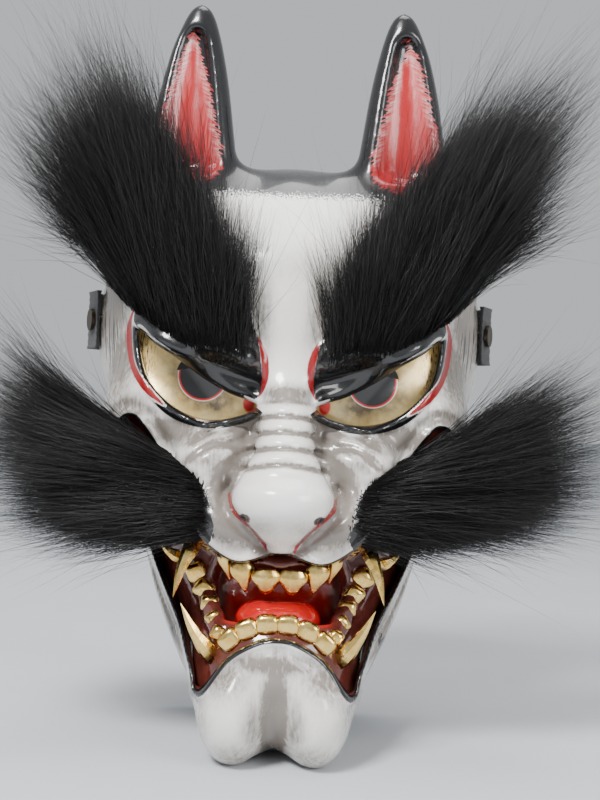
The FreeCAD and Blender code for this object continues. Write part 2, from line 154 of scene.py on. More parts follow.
def to_outline(x, z, outline):
    """Distance to a closed outline in the front view, negative inside."""
    gap, _ = to_line(x, z, outline, closed=True)
    inside = np.zeros(np.shape(x), bool)
    for a, b in zip(outline, np.roll(outline, -1, 0)):
        crosses = (a[1] > z) != (b[1] > z)
        with np.errstate(divide="ignore", invalid="ignore"):
            at = (b[0] - a[0]) * (z - a[1]) / (b[1] - a[1]) + a[0]
        inside ^= crosses & (x < at)
    return np.where(inside, -gap, gap)


def stroke(x, z, line, widths):
    """Distance outside a brush stroke whose half-width runs through widths along the line."""
    gap, along = to_line(x, z, line)
    return gap - np.interp(along, np.linspace(0, 1, len(widths)), widths)


def both_halves(half):
    """A closed line, from its +X half between two points on the middle."""
    return closed_curve(half + [(-x, z) for x, z in reversed(half[1:-1])])


# ------------------------------------------------------------------ the head's form, close to the CAD's
WIDEST, DEEP, CROWN_TOP, WALL = 104.0, 76.0, 124.0, 3.5
HALF_WIDTHS = [(-184, 0.33), (-178, 0.385), (-150, 0.51), (-120, 0.644), (-85, 0.75), (-27, 0.904),
               (-2, 0.98), (23, 1.0), (60, 0.952), (90, 0.77)]
DEPTHS = [(-184, 1.21), (-150, 1.29), (-110, 1.21), (-60, 1.05), (-20, 1.0), (20, 0.974),
          (60, 0.974), (90, 0.79)]
SQUARENESS = [(-184, 2.4), (-60, 2.2), (-20, 2.0), (20, 1.8), (60, 1.9), (90, 2.0)]
BALLS = [((70, -40, -14), (26, 26, 24), 16),      # cheekbone
         ((38, -78, -40), (17, 15, 15), 18),      # muzzle
         ((26, -86, -68), (27, 20, 17), 12),      # whisker pad
         ((0, -107, -54), (24, 25, 15), 8),       # nose ball
         ((0, -104, -64), (14, 16, 15), 8),       # nose tip
         ((0, -80, -140), (44, 42, 42), 14),      # jaw
         ((20, -101, -155), (18, 24, 27), 6)]     # chin lobe
ROLLS = [((24, -82, 13), (58, -66, 24), 9, 9, 10),        # inner brow
         ((58, -66, 24), (92, -26, 56), 9, 7, 10),        # outer brow
         ((0, -72, 2), (0, -104, -42), 10, 16, 13),       # nose bridge
         ((0, -96, -81), (40, -85, -75), 9, 7, 9),        # upper lip
         ((0, -110, -127), (34, -94, -147), 7, 6, 8)]     # lower lip

EYE = closed_curve([(15, -10), (30, -17), (46, -17), (61, -10), (74, 5), (79, 27), (70, 20.5), (58, 13),
                    (44, 3.5), (30, -4)])
MOUTH_HALF = [
    (0, -81), (20, -87), (34, -80), (45, -68), (59, -46), (70, -28), (79, -18), (86, -23), (83, -44),
    (76, -66), (65, -92), (52, -116), (41, -137), (37, -147), (24, -130), (10, -121), (0, -119)]
MOUTH = both_halves(MOUTH_HALF)
POCKET = ((0, -84, -101), (37, 27, 27))          # centre and radii of the mouth's round pocket
SHELL_TRIANGLES, LINING_TRIANGLES = 196000, 120000


def head(x, y, z):
    """About how far points are outside the head's surface, without its fine details."""
    x = np.abs(x)
    p = (x, y, z)
    wide = WIDEST * at_height(HALF_WIDTHS, z)
    deep = DEEP * at_height(DEPTHS, z)
    power = at_height(SQUARENESS, z)
    section = ((x / wide) ** power + (np.maximum(-y, 0.0) / deep) ** power) ** (1.0 / power)
    form = (section - 1.0) * np.minimum(wide, deep) * 0.8
    form = smax(form, -(z + 166.0) + 0.16 * y, 26)
    form = smax(form, z - 78.0, 20)
    form = smin(form, ball(p, (0, 0, 34), (WIDEST - 1, 80, CROWN_TOP - 34)), 14)
    for centre, radii, soft in BALLS:
        form = smin(form, ball(p, centre, radii), soft)
    for start, end, start_radius, end_radius, soft in ROLLS:
        form = smin(form, roll(p, start, end, start_radius, end_radius), soft)
    return smax(form, -ball(p, (46, -84, -2), (31, 17, 17)), 8)


def front_at(x, z, offset=0.0, field=head):
    """Y of the head's surface, moved out by offset, seen from the front."""
    y = np.full(np.shape(x), -2.0)
    for _ in range(120):
        y = np.minimum(y + np.clip((field(x, y, z) - offset) * 0.6, -6, 6), -2.0)
    return y


# ------------------------------------------------------------------ details pressed into the clay
FOLDS = [  # lines of folds in the front view (+X), groove depth and half-width
    (open_curve([(15, -24), (24, -20), (36, -22), (50, -32)]), 2.4, 2.4),
    (open_curve([(20, -33), (30, -29), (40, -32), (52, -42)]), 2.0, 2.2),
    (open_curve([(15, -12), (18, -20), (20, -30)]), 1.6, 2.4),
    (open_curve([(20, -34), (27, -42), (30, -54), (28, -66)]), 1.7, 3.4),
    (open_curve([(66, -14), (74, -18), (84, -14)]), 1.2, 2.2),
    (open_curve([(38, -146), (46, -128), (58, -106), (70, -82), (80, -56)]) + (7, -2), 1.6, 2.6),
]
NOSE_HALF = [(0, -40), (14, -41), (23, -46), (27, -53), (26, -60), (20, -67), (12, -74), (5, -79), (0, -80.5)]
NOSE = both_halves(NOSE_HALF)
NOSTRIL = open_curve([(26, -54), (24, -59), (20, -64), (14, -69), (9, -75), (6.5, -80)])
EAR_WIDTHS = [
    (84, 28), (112, 25.5), (135, 22.8), (160, 19.3), (182, 14.8), (197, 10.2), (206, 6.0), (211, 1.0)]
EAR_DEPTHS = [(84, 18), (112, 16), (160, 12), (190, 9), (206, 5.5), (211, 1.0)]


def wrinkles(x, z):
    """Where the rows of wrinkles over the nose bridge lie, and their wave."""
    arch = z + 0.010 * x * x
    return step(arch, -43, -38) * (1 - step(arch, -11, -4)), np.abs(np.sin((arch + 37.0) * np.pi / 7.6))


def above_lid_line(x, z):
    """Height over the slanted line that parts the upper eyelid from the lower."""
    return z - (-9 + (x - 17) * 0.6)


def in_front_view(x, z):
    """Raised and sunken lines of the face, as a push outwards in mm."""
    x = np.abs(x)
    push = np.zeros(np.shape(x))
    rows, wave = wrinkles(x, z)
    push += 1.35 * (rows * bell(x, 19) ** 0.7) * (wave * 1.6 - 1.0)
    for line, depth, width in FOLDS:
        gap, along = to_line(x, z, line)
        push -= depth * bell(gap, width) * np.sin(np.pi * np.clip(along, 0.02, 0.98)) ** 0.6
    nose = to_outline(x, z, NOSE)
    below = 1 - step(z, -50, -42)
    push += (2.0 * step(-nose, -0.5, 5) - 2.2 * bell(nose - 1.6, 2.4)) * below
    gap, along = to_line(x, z, NOSTRIL)
    push -= 1.6 * bell(gap, 1.5) * (0.35 + 0.65 * bell(along - 0.45, 0.3))
    chin = 1 - step(z, -152, -138)
    push += chin * (1.6 * bell(x - 19, 13) - 2.6 * bell(x, 5.5))
    eye = to_outline(x, z, EYE)
    lower = 1 - step(above_lid_line(x, z), -4, 4)
    push += 2.0 * bell(eye - 2.2, 2.4) * lower
    push += 2.6 * bell(eye - 3.6, 3.8) * (1 - lower) * step(x, 12, 18)
    mouth = to_outline(x, z, MOUTH)
    push += 1.8 * bell(mouth - 1.2, 2.2)
    push -= bell(mouth - 6.0, 2.4)
    return push


def ear(x, y, z):
    """One cupped ear (for +X)."""
    wide, deep = at_height(EAR_WIDTHS, z), at_height(EAR_DEPTHS, z)
    middle_x = 57.0 + 0.6 * bell(z - 150, 30) - step(z, 180, 210)
    middle_y = -27.0 + 8.0 * step(z, 110, 210)
    form = (np.sqrt(((x - middle_x) / wide) ** 2 + ((y - middle_y) / deep) ** 2) - 1) * np.minimum(wide, deep)
    form = smax(form, z - 211.0, 4)
    cup_wide = np.maximum(wide - 5.0, 0.5)
    cup = (np.sqrt(((x - middle_x - 1.5) / cup_wide) ** 2
                   + ((y - middle_y + deep * 1.25) / (deep * 1.1)) ** 2) - 1) * np.minimum(cup_wide, deep)
    cup = smax(cup, 112.0 - z, 10)
    cup = smax(cup, z - 196.0, 8)
    return smax(form * 0.9, -cup * 0.9, 3.0)


def sampled(low, high, voxel):
    """The axes of a grid, its places in space, and its places in the front view."""
    axes = [np.arange(a, b + voxel, voxel) for a, b in zip(low, high)]
    return axes, np.meshgrid(*axes, indexing="ij"), np.meshgrid(axes[0], axes[2], indexing="ij")


def polygonise(values, low, voxel):
    """The zero surface of a sampled field, as vertices in mm and faces."""
    grid = openvdb.FloatGrid(4.0 * voxel)
    grid.copyFromArray(np.ascontiguousarray(np.clip(values, -4 * voxel, 4 * voxel), dtype=np.float32))
    points, triangles, quads = grid.convertToPolygons(isovalue=0.0, adaptivity=0.0)
    points = points * voxel + np.array(low)
    return points, triangles, quads


def make_mesh(name, points, faces):
    """A mesh object from points in mm; faces are lists or arrays of indices."""
    mesh = bpy.data.meshes.new(name)
    sizes = []
    loops = []
    for block in faces:
        block = np.asarray(block)
        if len(block):
            sizes.append(np.full(len(block), block.shape[1]))
            loops.append(block.ravel())
    sizes = np.concatenate(sizes).astype(np.int32)
    loops = np.concatenate(loops).astype(np.int32)
    mesh.vertices.add(len(points))
    mesh.vertices.foreach_set("co", (np.asarray(points) * MM).astype(np.float32).ravel())
    mesh.loops.add(len(loops))
    mesh.loops.foreach_set("vertex_index", loops)
    mesh.polygons.add(len(sizes))
    mesh.polygons.foreach_set("loop_start", np.concatenate([[0], np.cumsum(sizes)[:-1]]).astype(np.int32))
    mesh.polygons.foreach_set("loop_total", sizes)
    mesh.update(calc_edges=True)
    mesh.validate()
    mesh.shade_smooth()
    obj = bpy.data.objects.new(name, mesh)
    bpy.context.scene.collection.objects.link(obj)
    return obj


def mesh_of(name, form, axes, voxel, mirrored=False):
    """The surface of a sampled field as an object; a mirrored field holds its +X half."""
    start = [axis[0] for axis in axes]
    if mirrored:
        form = np.concatenate([form[:0:-1], form], 0)
        start[0] = -axes[0][-1]
    points, triangles, quads = polygonise(form, start, voxel)
    return make_mesh(name, points, (triangles, quads))


def places(obj):
    """The vertices of an object, in mm."""
    co = np.empty(len(obj.data.vertices) * 3, np.float32)
    obj.data.vertices.foreach_get("co", co)
    return co.reshape(-1, 3).astype(float) / MM


def facings(obj):
    """The vertex normals of an object."""
    normals = np.empty(len(obj.data.vertices) * 3, np.float32)
    obj.data.vertex_normals.foreach_get("vector", normals)
    return normals.reshape(-1, 3).astype(float)


def tell(obj, name, values):
    """Keep a number per vertex for the material."""
    layer = obj.data.attributes.get(name) or obj.data.attributes.new(name, "FLOAT", "POINT")
    layer.data.foreach_set("value", np.asarray(values, np.float32))


def apply_modifiers(obj):
    bpy.context.view_layer.update()
    depsgraph = bpy.context.evaluated_depsgraph_get()
    mesh = bpy.data.meshes.new_from_object(obj.evaluated_get(depsgraph))
    obj.modifiers.clear()
    obj.data = mesh
    obj.data.shade_smooth()


def thin_out(obj, most):
    """Bring a piece under a number of triangles."""
    triangles = sum(len(p.vertices) - 2 for p in obj.data.polygons)
    if triangles > most:
        reducer = obj.modifiers.new("fewer", "DECIMATE")
        reducer.ratio = most / triangles
        apply_modifiers(obj)


def fit(obj, node_names, material):
    """Put a piece on its body, in place of its CAD nodes, with its material."""
    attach(obj, "root")
    if node_names:
        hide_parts(*node_names)
    obj.data.materials.clear()
    obj.data.materials.append(material)
    return obj


# ------------------------------------------------------------------ materials
class Paint:
    """A small helper that builds a node material."""

    def __init__(self, name, **sockets):
        self.material = bpy.data.materials.new(name)
        self.material.use_nodes = True
        self.tree = self.material.node_tree
        self.shader = self.tree.nodes["Principled BSDF"]
        for key, value in sockets.items():
            self.shader.inputs[key.replace("_", " ")].default_value = value

    def node(self, kind, inputs=None, **props):
        item = self.tree.nodes.new(kind)
        for key, value in props.items():
            setattr(item, key, value)
        for key, value in (inputs or {}).items():
            self.put(value, item.inputs[key])
        return item

    def put(self, value, socket):
        if isinstance(value, bpy.types.NodeSocket):
            self.tree.links.new(value, socket)
        else:
            socket.default_value = value

    def math(self, operation, a, b=0.0, c=0.0):
        return self.node("ShaderNodeMath", {0: a, 1: b, 2: c}, operation=operation).outputs[0]

    def plus(self, a, b):
        return self.math("ADD", a, b)

    def minus(self, a, b):
        return self.math("SUBTRACT", a, b)

    def times(self, a, b):
        return self.math("MULTIPLY", a, b)

    def number(self, name):
        return self.node("ShaderNodeAttribute", attribute_name=name).outputs["Fac"]

    def place(self, scale=(1, 1, 1)):
        here = self.node("ShaderNodeTexCoord").outputs["Object"]
        return self.node("ShaderNodeMapping", {"Vector": here, "Scale": scale}).outputs[0]

    def axis(self, index):
        return self.node("ShaderNodeSeparateXYZ", {0: self.place()}).outputs[index]

    def noise(self, scale, stretch=(1, 1, 1), detail=3.0, rough=0.5):
        item = self.node("ShaderNodeTexNoise", {"Vector": self.place(stretch), "Scale": scale,
                                                "Detail": detail, "Roughness": rough})
        return item.outputs["Fac"]

    def within(self, distance, soft=0.25):
        """1 inside a painted region, 0 outside, with an edge about soft mm wide."""
        return self.span(distance, soft, -soft)

    def span(self, value, low, high, out_low=0.0, out_high=1.0):
        return self.node("ShaderNodeMapRange", {"Value": value, "From Min": low, "From Max": high,
                                                "To Min": out_low, "To Max": out_high}).outputs[0]

    def mix(self, share, a, b):
        item = self.node("ShaderNodeMix", {"Factor": share}, data_type="RGBA")
        self.put(a, item.inputs["A"])
        self.put(b, item.inputs["B"])
        return item.outputs["Result"]

    def bump(self, height, strength, distance=0.0005):
        item = self.node("ShaderNodeBump", {"Height": height, "Strength": strength, "Distance": distance})
        self.tree.links.new(item.outputs[0], self.shader.inputs["Normal"])

    def finish(self, colour, rough=None):
        self.put(colour, self.shader.inputs["Base Color"])
        if rough is not None:
            self.put(rough, self.shader.inputs["Roughness"])
        return self.material


WHITE = (0.88, 0.86, 0.83, 1)
WARM_GREY = (0.17, 0.142, 0.118, 1)
BLACK = (0.006, 0.006, 0.007, 1)
CRIMSON = (0.36, 0.012, 0.014, 1)
DARK_RED = (0.20, 0.010, 0.012, 1)
PINK = (0.56, 0.085, 0.085, 1)


def shell_paint():
    paint = Paint("painted_lacquer", Roughness=0.24, Coat_Weight=0.6, Coat_Roughness=0.06)
    fine = paint.minus(paint.noise(1400, (1, 1, 0.16), 4.0), 0.5)
    drift = paint.minus(paint.noise(160), 0.5)
    shade = paint.number("shade")
    shade = paint.times(shade, paint.span(paint.noise(420, (1, 1, 0.6)), 0.3, 0.7, 0.75, 1.2))
    colour = paint.mix(paint.span(paint.noise(30), 0.35, 0.65), WHITE, (0.80, 0.765, 0.71, 1))
    strokes = paint.span(paint.noise(800, (1, 1, 0.12), 2.0), 0.3, 0.7, 0.75, 1.2)
    shade = paint.times(shade, strokes)
    colour = paint.mix(paint.span(shade, 0.04, 0.95, 0.0, 0.92), colour, WARM_GREY)
    # fine brush hairs at the sides of the face
    lines = paint.node("ShaderNodeCombineXYZ", {0: paint.number("hair_across"),
                                                1: paint.times(paint.axis(2), 28.0)}).outputs[0]
    lines = paint.node("ShaderNodeTexNoise", {"Vector": lines, "Scale": 0.9, "Detail": 2.0}).outputs["Fac"]
    hairs = paint.times(paint.span(lines, 0.56, 0.62), paint.number("side_hairs"))
    colour = paint.mix(hairs, colour, (0.05, 0.05, 0.05, 1))
    red = paint.plus(paint.number("red"), paint.times(drift, 1.2))
    colour = paint.mix(paint.within(red), colour, paint.mix(paint.noise(700, (1, 1, 0.3)), CRIMSON, DARK_RED))
    brush = paint.times(fine, paint.number("brush"))
    black = paint.plus(paint.number("black"), brush)
    colour = paint.mix(paint.within(black), colour, BLACK)
    colour = paint.mix(paint.within(paint.number("white_edge"), 0.2), colour, (0.75, 0.73, 0.70, 1))
    # the red field of the ear cups, with a combed edge
    z = paint.axis(2)
    slope = paint.plus(z, paint.times(paint.number("cup_side"), 0.0006))
    comb = paint.node("ShaderNodeCombineXYZ", {2: slope, 0: paint.times(paint.axis(0), 0.12)}).outputs[0]
    comb = paint.node("ShaderNodeTexNoise", {"Vector": comb, "Scale": 760.0, "Detail": 2.0}).outputs["Fac"]
    comb = paint.times(paint.minus(comb, 0.5), 11.0)
    wobble = paint.times(paint.minus(paint.noise(300, (1, 1, 1)), 0.5), 2.0)
    cup = paint.plus(paint.plus(paint.number("cup"), comb), wobble)
    streak = paint.noise(520, (1, 1, 0.10), 3.0)
    field = paint.mix(paint.span(streak, 0.38, 0.62), (0.40, 0.022, 0.026, 1), PINK)
    rim = paint.minus(0.0, paint.plus(paint.number("cup"), 3.4))
    frost = paint.times(paint.span(comb, -1.0, 2.5), paint.within(rim, 1.8))
    field = paint.mix(frost, field, (0.80, 0.52, 0.50, 1))
    deep = paint.plus(paint.number("cup_deep"), paint.times(paint.minus(streak, 0.5), 7.0))
    field = paint.mix(paint.within(deep, 1.5), field, (0.40, 0.010, 0.012, 1))
    colour = paint.mix(paint.within(cup, 0.3), colour, field)
    colour = paint.mix(paint.number("lip_wall"), colour, (0.15, 0.032, 0.024, 1))
    inside = paint.number("inside")
    raw = paint.mix(paint.noise(90, (1, 1, 1), 6.0), (0.055, 0.028, 0.016, 1), (0.11, 0.06, 0.035, 1))
    colour = paint.mix(inside, colour, raw)
    rough = paint.span(paint.noise(60), 0.3, 0.7, 0.20, 0.30)
    rough = paint.plus(rough, paint.times(inside, 0.35))
    relief = paint.plus(paint.times(paint.noise(45), 1.0), paint.times(paint.noise(700), 0.05))
    paint.bump(relief, 0.35, 0.0008)
    return paint.finish(colour, rough)


# ------------------------------------------------------------------ the shell
CREST = closed_curve([
    (13, 2), (17, -7), (30, -3), (45, 6), (59, 16), (70, 23), (80, 29), (87, 44), (96, 60), (84, 74),
    (60, 62), (40, 50), (26, 44), (16, 24)])
INNER_CRESCENT = closed_curve([
    (16, 25), (11.5, 18), (9.5, 9), (10.5, 1), (14.5, -6), (15.5, -3), (13.8, 4), (13.6, 12), (15, 20)])
OUTER_CRESCENT = closed_curve([
    (82, 38), (86.5, 28), (85, 14), (79.5, 2), (71, -7), (62, -12), (70, -3.5), (78, 6), (82, 16),
    (83, 28)])
MOUSTACHE_PATCH = closed_curve([
    (33, -74), (35, -60), (40, -49), (50, -41), (60, -38), (66, -44), (52, -66), (42, -80)])
EAR_CUP = closed_curve([
    (40.5, 117), (44, 140), (50, 165), (56, 184), (60, 193), (65, 182), (71.5, 158), (77.5, 134),
    (81, 116), (70, 108), (52, 107)])
EAR_STRIPE = closed_curve([
    (58, 186), (61.5, 164), (66, 140), (66, 114), (56, 108), (50, 120), (53, 150)])
SHADES = [  # centre, radius, strength: soft airbrushed patches (+X)
    ((0, -95, -3), (12, 30, 4), 0.8), ((28, -95, -68), (9, 20, 9), 1.0),
    ((31, -90, -50), (6, 20, 13), 0.9), ((0, -115, -152), (6, 30, 24), 1.0),
    ((10, -112, -160), (5, 25, 16), 0.5), ((17, -112, -176), (14, 25, 8), 0.4),
    ((0, -112, -131), (26, 20, 5), 0.75), ((24, -104, -139), (13, 20, 10), 0.9),
    ((34, -90, -158), (5, 30, 16), 0.6), ((60, -66, -24), (18, 30, 7), 0.8),
    ((80, -45, -14), (10, 30, 9), 0.85), ((21, -80, -24), (7, 30, 13), 0.95),
    ((34, -80, -38), (14, 30, 5), 0.5), ((50, -80, -46), (10, 30, 5), 0.6),
    ((88, -30, 8), (10, 40, 24), 0.8), ((94, -20, 42), (14, 40, 26), 0.9),
    ((45, -100, -150), (10, 30, 12), 0.5), ((68, -60, -92), (8, 30, 26), 0.45),
    ((56, -70, -122), (8, 30, 20), 0.75), ((14, -76, 34), (5, 30, 22), 0.45),
    ((0, -78, 62), (26, 30, 9), 0.15), ((10, -100, -66), (8, 30, 5), 0.35)]


def paint_shell(obj):
    """Numbers per vertex that say where each colour goes."""
    p = places(obj)
    x, y, z = np.abs(p[:, 0]), p[:, 1], p[:, 2]
    surface = head(x, y, z)
    facing = facings(obj)
    facing[:, 0] *= np.sign(p[:, 0] + 1e-9)
    slope = np.stack([head(x + 0.5, y, z) - head(x - 0.5, y, z), head(x, y + 0.5, z) - head(x, y - 0.5, z),
                      head(x, y, z + 0.5) - head(x, y, z - 0.5)], -1)
    slope /= np.linalg.norm(slope, axis=1, keepdims=True) + 1e-9
    outward = (slope * facing).sum(1)
    on_ear = (ear(x, y, z) < 1.5) & ((surface > 0.5) | (z > 126))
    inside = (surface < -1.2) & ((outward < -0.25) | (y > -0.6)) & ~on_ear
    eye = to_outline(x, z, EYE)
    above = above_lid_line(x, z)
    mouth = to_outline(x, z, MOUTH)
    front = step(-y, 15, 30)

    crown = -(z - 101.0 - 0.0016 * x * x + 0.10 * np.maximum(x - 30, 0))
    crown = np.minimum(crown, np.maximum(72.0 - x, 66 - z) * 0.8)
    brow = to_outline(x, z, CREST)
    lid = np.maximum(eye - 4.4 - bell(x - 62, 14), above + 0.5)
    lips = mouth - 1.5 - 0.2 * step(x, 34, 52) - 0.5 * (1 - step(z, -125, -105))
    patch = to_outline(x, z, MOUSTACHE_PATCH)
    jaw = np.maximum(z + 132.0 + 0.4 * (y + 40), -(y + 50.0)) * 0.8
    # painted shade: the nostril dimples are painted black for the dark inside of the nostril holes
    nostril = np.where(y < -60, np.hypot((x - 17.7) * 0.9, z + 62.8) - 2.6, 20.0)
    ear_root = np.where(z > 84, ear(x, y, z) - 4.5, 20.0)
    black = np.minimum.reduce([crown, brow, lid, lips, patch, jaw, nostril, ear_root])
    black = np.maximum(black, 0.5 - to_outline(x, z, OUTER_CRESCENT))
    black = np.where(on_ear & (z > 104), -20.0, black)
    tell(obj, "black", black)
    brush = 1.5 + 20.0 * bell(crown, 10) + 8.0 * bell(patch, 8) * (x < 46) + 9.0 * bell(jaw, 8) * (jaw < lips)
    brush = np.where((np.abs(lips) < 3) | (np.abs(lid) < 2.2), 0.0, brush)
    brush += 7.0 * bell(brow, 9) * (x < 44) * step(z, 20, 30)
    tell(obj, "brush", brush)
    edge = np.maximum(np.abs(eye - 1.2) - 0.55 - 0.5 * bell(x - 68, 16), 0.5 - above)
    tell(obj, "white_edge", np.where(surface < -1.2, 5.0, edge))
    red = np.minimum(to_outline(x, z, INNER_CRESCENT), to_outline(x, z, OUTER_CRESCENT))
    red = np.minimum(red, stroke(x, z, NOSTRIL, [0.8, 1.8, 1.2, 0.8, 1.3, 0.5]))
    tell(obj, "red", np.where(front > 0.3, red, 9.0))
    shade = np.zeros(len(p))
    for centre, radii, strength in SHADES:
        gap = sum(((v - c) / r) ** 2 for v, c, r in zip((x, y, z), centre, radii))
        shade = np.maximum(shade, strength * np.exp(-gap * 0.9))
    push = in_front_view(x, z)
    nose = to_outline(x, z, NOSE)
    shade += 0.75 * bell(nose - 3.0, 3.6) * (1 - step(z, -52, -44)) * step(nose, -0.5, 1.0)
    shade += 0.42 * np.clip(-push, 0, 2.5) * step(mouth, 7, 10) * step(eye, 5, 7)
    rows, wave = wrinkles(x, z)
    shade += 0.8 * (rows * bell(x, 21)) * (1 - step(wave, 0.1, 0.75))
    tell(obj, "shade", np.clip(shade * 1.85, 0, 1.4))
    temple = step(x, 82, 92) * (1 - step(z, 56, 70)) * step(z, -22, 0) * step(-y, 4, 14)
    tell(obj, "side_hairs", temple)
    tell(obj, "hair_across", x - 0.10 * z + 0.0012 * (z - 10) ** 2 + 0.35 * y)
    cup = to_outline(x, z, EAR_CUP) + 40.0 * step(facing[:, 1], -0.15, 0.1)
    tell(obj, "cup", np.where(on_ear | (z > 104), cup, 9.0))
    tell(obj, "cup_side", np.abs(x - 60))
    tell(obj, "cup_deep", np.minimum(to_outline(x, z, EAR_STRIPE), (z - 122) * 0.5))
    wall = (mouth < 0.6) & (surface < -0.5) & (outward < 0.7) & ~inside & (z < 0)
    tell(obj, "lip_wall", wall.astype(float))
    tell(obj, "inside", inside.astype(float))


def make_shell():
    """The face and both ears as one skin; the nostrils are dimples, painted black as painted shade for the
    dark inside of nostril holes.
    """
    voxel = 1.25
    low, high = (0.0, -141.0, -190.0), (113.0, 3.0, 214.0)
    axes, (x, y, z), flat = sampled(low, high, voxel)
    base = head(x, y, z)
    relief = in_front_view(*flat)[:, None, :]
    outer = base - relief * step(-y, 12, 30)
    inner = np.maximum(base + WALL, outer + 2.3)
    ears = ear(x, y, z)
    outer = smin(outer, np.where(z > 80, ears, 50.0), 15.0)
    shell = smax(outer, -inner, 0.8)
    mouth = to_outline(*flat, MOUTH)[:, None, :]
    eye = to_outline(*flat, EYE)[:, None, :]
    shell = smax(shell, -mouth, 1.6)
    shell = smax(shell, -eye, 1.2)
    hole = np.sqrt((x - 17.5) ** 2 + (z + 63.0) ** 2) - 2.0
    shell = smax(shell, -np.where(y < -60, np.maximum(hole, -(outer + 2.2)), 9.0), 0.8)
    shell = smax(shell, y - 0.02, 0.8)
    obj = mesh_of("mask_shell", shell, axes, voxel, mirrored=True)
    thin_out(obj, SHELL_TRIANGLES)
    paint_shell(obj)
    return fit(obj, ("face_shell", "left_ear", "right_ear"), shell_paint())


# ------------------------------------------------------------------ the mouth
def lining_field(x, y, z, mouth):
    """The sheet behind the lips, as wide as the mouth and its hidden edge, and the round pocket."""
    skin = head(x, y, z)
    sheet = smax(np.maximum(skin + 4.0, -(skin + 6.4)), mouth - 6.0, 1.0)
    bowl = ball((x, y, z), *POCKET)
    sheet = smax(sheet, -bowl, 3.0)
    wall = np.maximum(bowl - 2.4, -bowl)
    wall = np.maximum(wall, skin + 4.0)
    form = smin(sheet, wall, 2.5)
    return form


def lacquer(name, colour, dark):
    paint = Paint(name, Roughness=0.12, Coat_Weight=0.8, Coat_Roughness=0.04)
    tone = paint.mix(paint.span(paint.noise(120, detail=5.0), 0.35, 0.7), dark, colour)
    paint.bump(paint.noise(220, detail=2.0), 0.25, 0.0006)
    return paint.finish(tone)


def lining_paint():
    paint = Paint("mouth_lacquer", Roughness=0.14, Coat_Weight=0.8, Coat_Roughness=0.04)
    tone = paint.mix(paint.span(paint.noise(120, detail=5.0), 0.35, 0.7),
                     (0.070, 0.013, 0.010, 1), (0.13, 0.028, 0.020, 1))
    tone = paint.mix(paint.number("bright"), tone, (0.55, 0.018, 0.014, 1))
    paint.bump(paint.noise(160, detail=2.0), 0.3, 0.0008)
    return paint.finish(tone)


def gum_line(side_end, middle, count=40):
    """Points along a gum: a smooth bow from cheek to cheek."""
    ends = np.array(side_end, float)
    left = ends * (-1, 1, 1)
    points = [left, left * (0.55, 1, 1) * (1, 0.35, 0.35) + np.array(middle) * (0, 0.65, 0.65),
              np.array(middle, float)]
    points += [points[1] * (-1, 1, 1), ends]
    return open_curve(points, count // 4)


UPPER_GUM = gum_line((50, -74, -70), (0, -93, -88))
LOWER_GUM = gum_line((38, -88, -146), (0, -104, -124))


def make_lining():
    """The lacquered inside of the mouth, with gum ridges under both rows of teeth."""
    voxel = 1.0
    low, high = (0.0, -116.0, -160.0), (95.0, -20.0, -8.0)
    axes, (x, y, z), flat = sampled(low, high, voxel)
    mouth = to_outline(*flat, MOUTH)[:, None, :]
    form = lining_field(x, y, z, mouth)
    for gum, radius in ((UPPER_GUM, 4.6), (LOWER_GUM, 4.6)):
        half = gum[gum[:, 0] >= -4]
        for a, b in zip(half[:-1], half[1:]):
            form = smin(form, roll((x, y, z), a, b, radius, radius), 2.0)
    for row in (LOWER_MOLARS, UPPER_MOLARS):
        spots = [on_lining(mx, mz, -1.5) for mx, mz, _ in row]
        for a, b in zip(spots[:-1], spots[1:]):
            form = smin(form, roll((x, y, z), a, b, 4.6, 4.4), 3.0)
    form = np.maximum(form, head(x, y, z) + np.where(mouth > -1.5, 3.7, 1.5))
    obj = mesh_of("mouth_inside", form, axes, voxel, mirrored=True)
    thin_out(obj, LINING_TRIANGLES)
    p = places(obj)
    bowl = ball((p[:, 0], p[:, 1], p[:, 2]), *POCKET)
    bright = step(2.2 - bowl, 0, 0.9) * step(p[:, 2], -120, -112) * (1 - step(np.abs(p[:, 0]), 23, 29))
    bright = bright * (1 - step(p[:, 2], -99, -94))
    tell(obj, "bright", bright)
    return fit(obj, ("mouth_lining",), lining_paint())


def make_tongue():
    """A rounded tongue with a raised rim at its front."""
    voxel = 0.8
    low, high = (-24, -106, -130), (24, -64, -100)
    axes, p, _ = sampled(low, high, voxel)
    form = ball(p, (0, -84, -116), (21.5, 18, 12))
    form = smax(form, -ball(p, (0, -82, -99), (15, 15, 7)), 5)
    form = smax(form, ball(p, POCKET[0], (36.2, 26.2, 26.2)), 1.5)
    obj = mesh_of("tongue_piece", form, axes, voxel)
    red = lacquer("tongue_lacquer", (0.60, 0.012, 0.010, 1), (0.42, 0.008, 0.008, 1))
    return fit(obj, ("tongue",), red)


# ------------------------------------------------------------------ teeth
def brass(name, tipped=False):
    paint = Paint(name, Metallic=1.0, Roughness=0.2)
    tone = paint.mix(paint.span(paint.noise(260, detail=4.0), 0.3, 0.7),
                     (0.79, 0.50, 0.12, 1), (0.94, 0.70, 0.27, 1))
    edge_noise = paint.times(paint.minus(paint.noise(500), 0.5), 0.4)
    # the brass turns dark brown towards the root of each tooth
    dark_at_root = paint.span(paint.plus(paint.number("foot"), edge_noise), 0.0, 0.2, 0.9, 0.0)
    tone = paint.mix(dark_at_root, tone, (0.22, 0.09, 0.03, 1))
    if tipped:
        hot = paint.span(paint.plus(paint.number("foot"), edge_noise), 0.38, 0.85, 0.0, 0.85)
        tone = paint.mix(hot, tone, (0.42, 0.09, 0.03, 1))
    rough = paint.span(paint.noise(300, detail=4.0), 0.3, 0.7, 0.14, 0.32)
    paint.bump(paint.noise(520, detail=2.0), 0.2, 0.0004)
    return paint.finish(tone, rough)


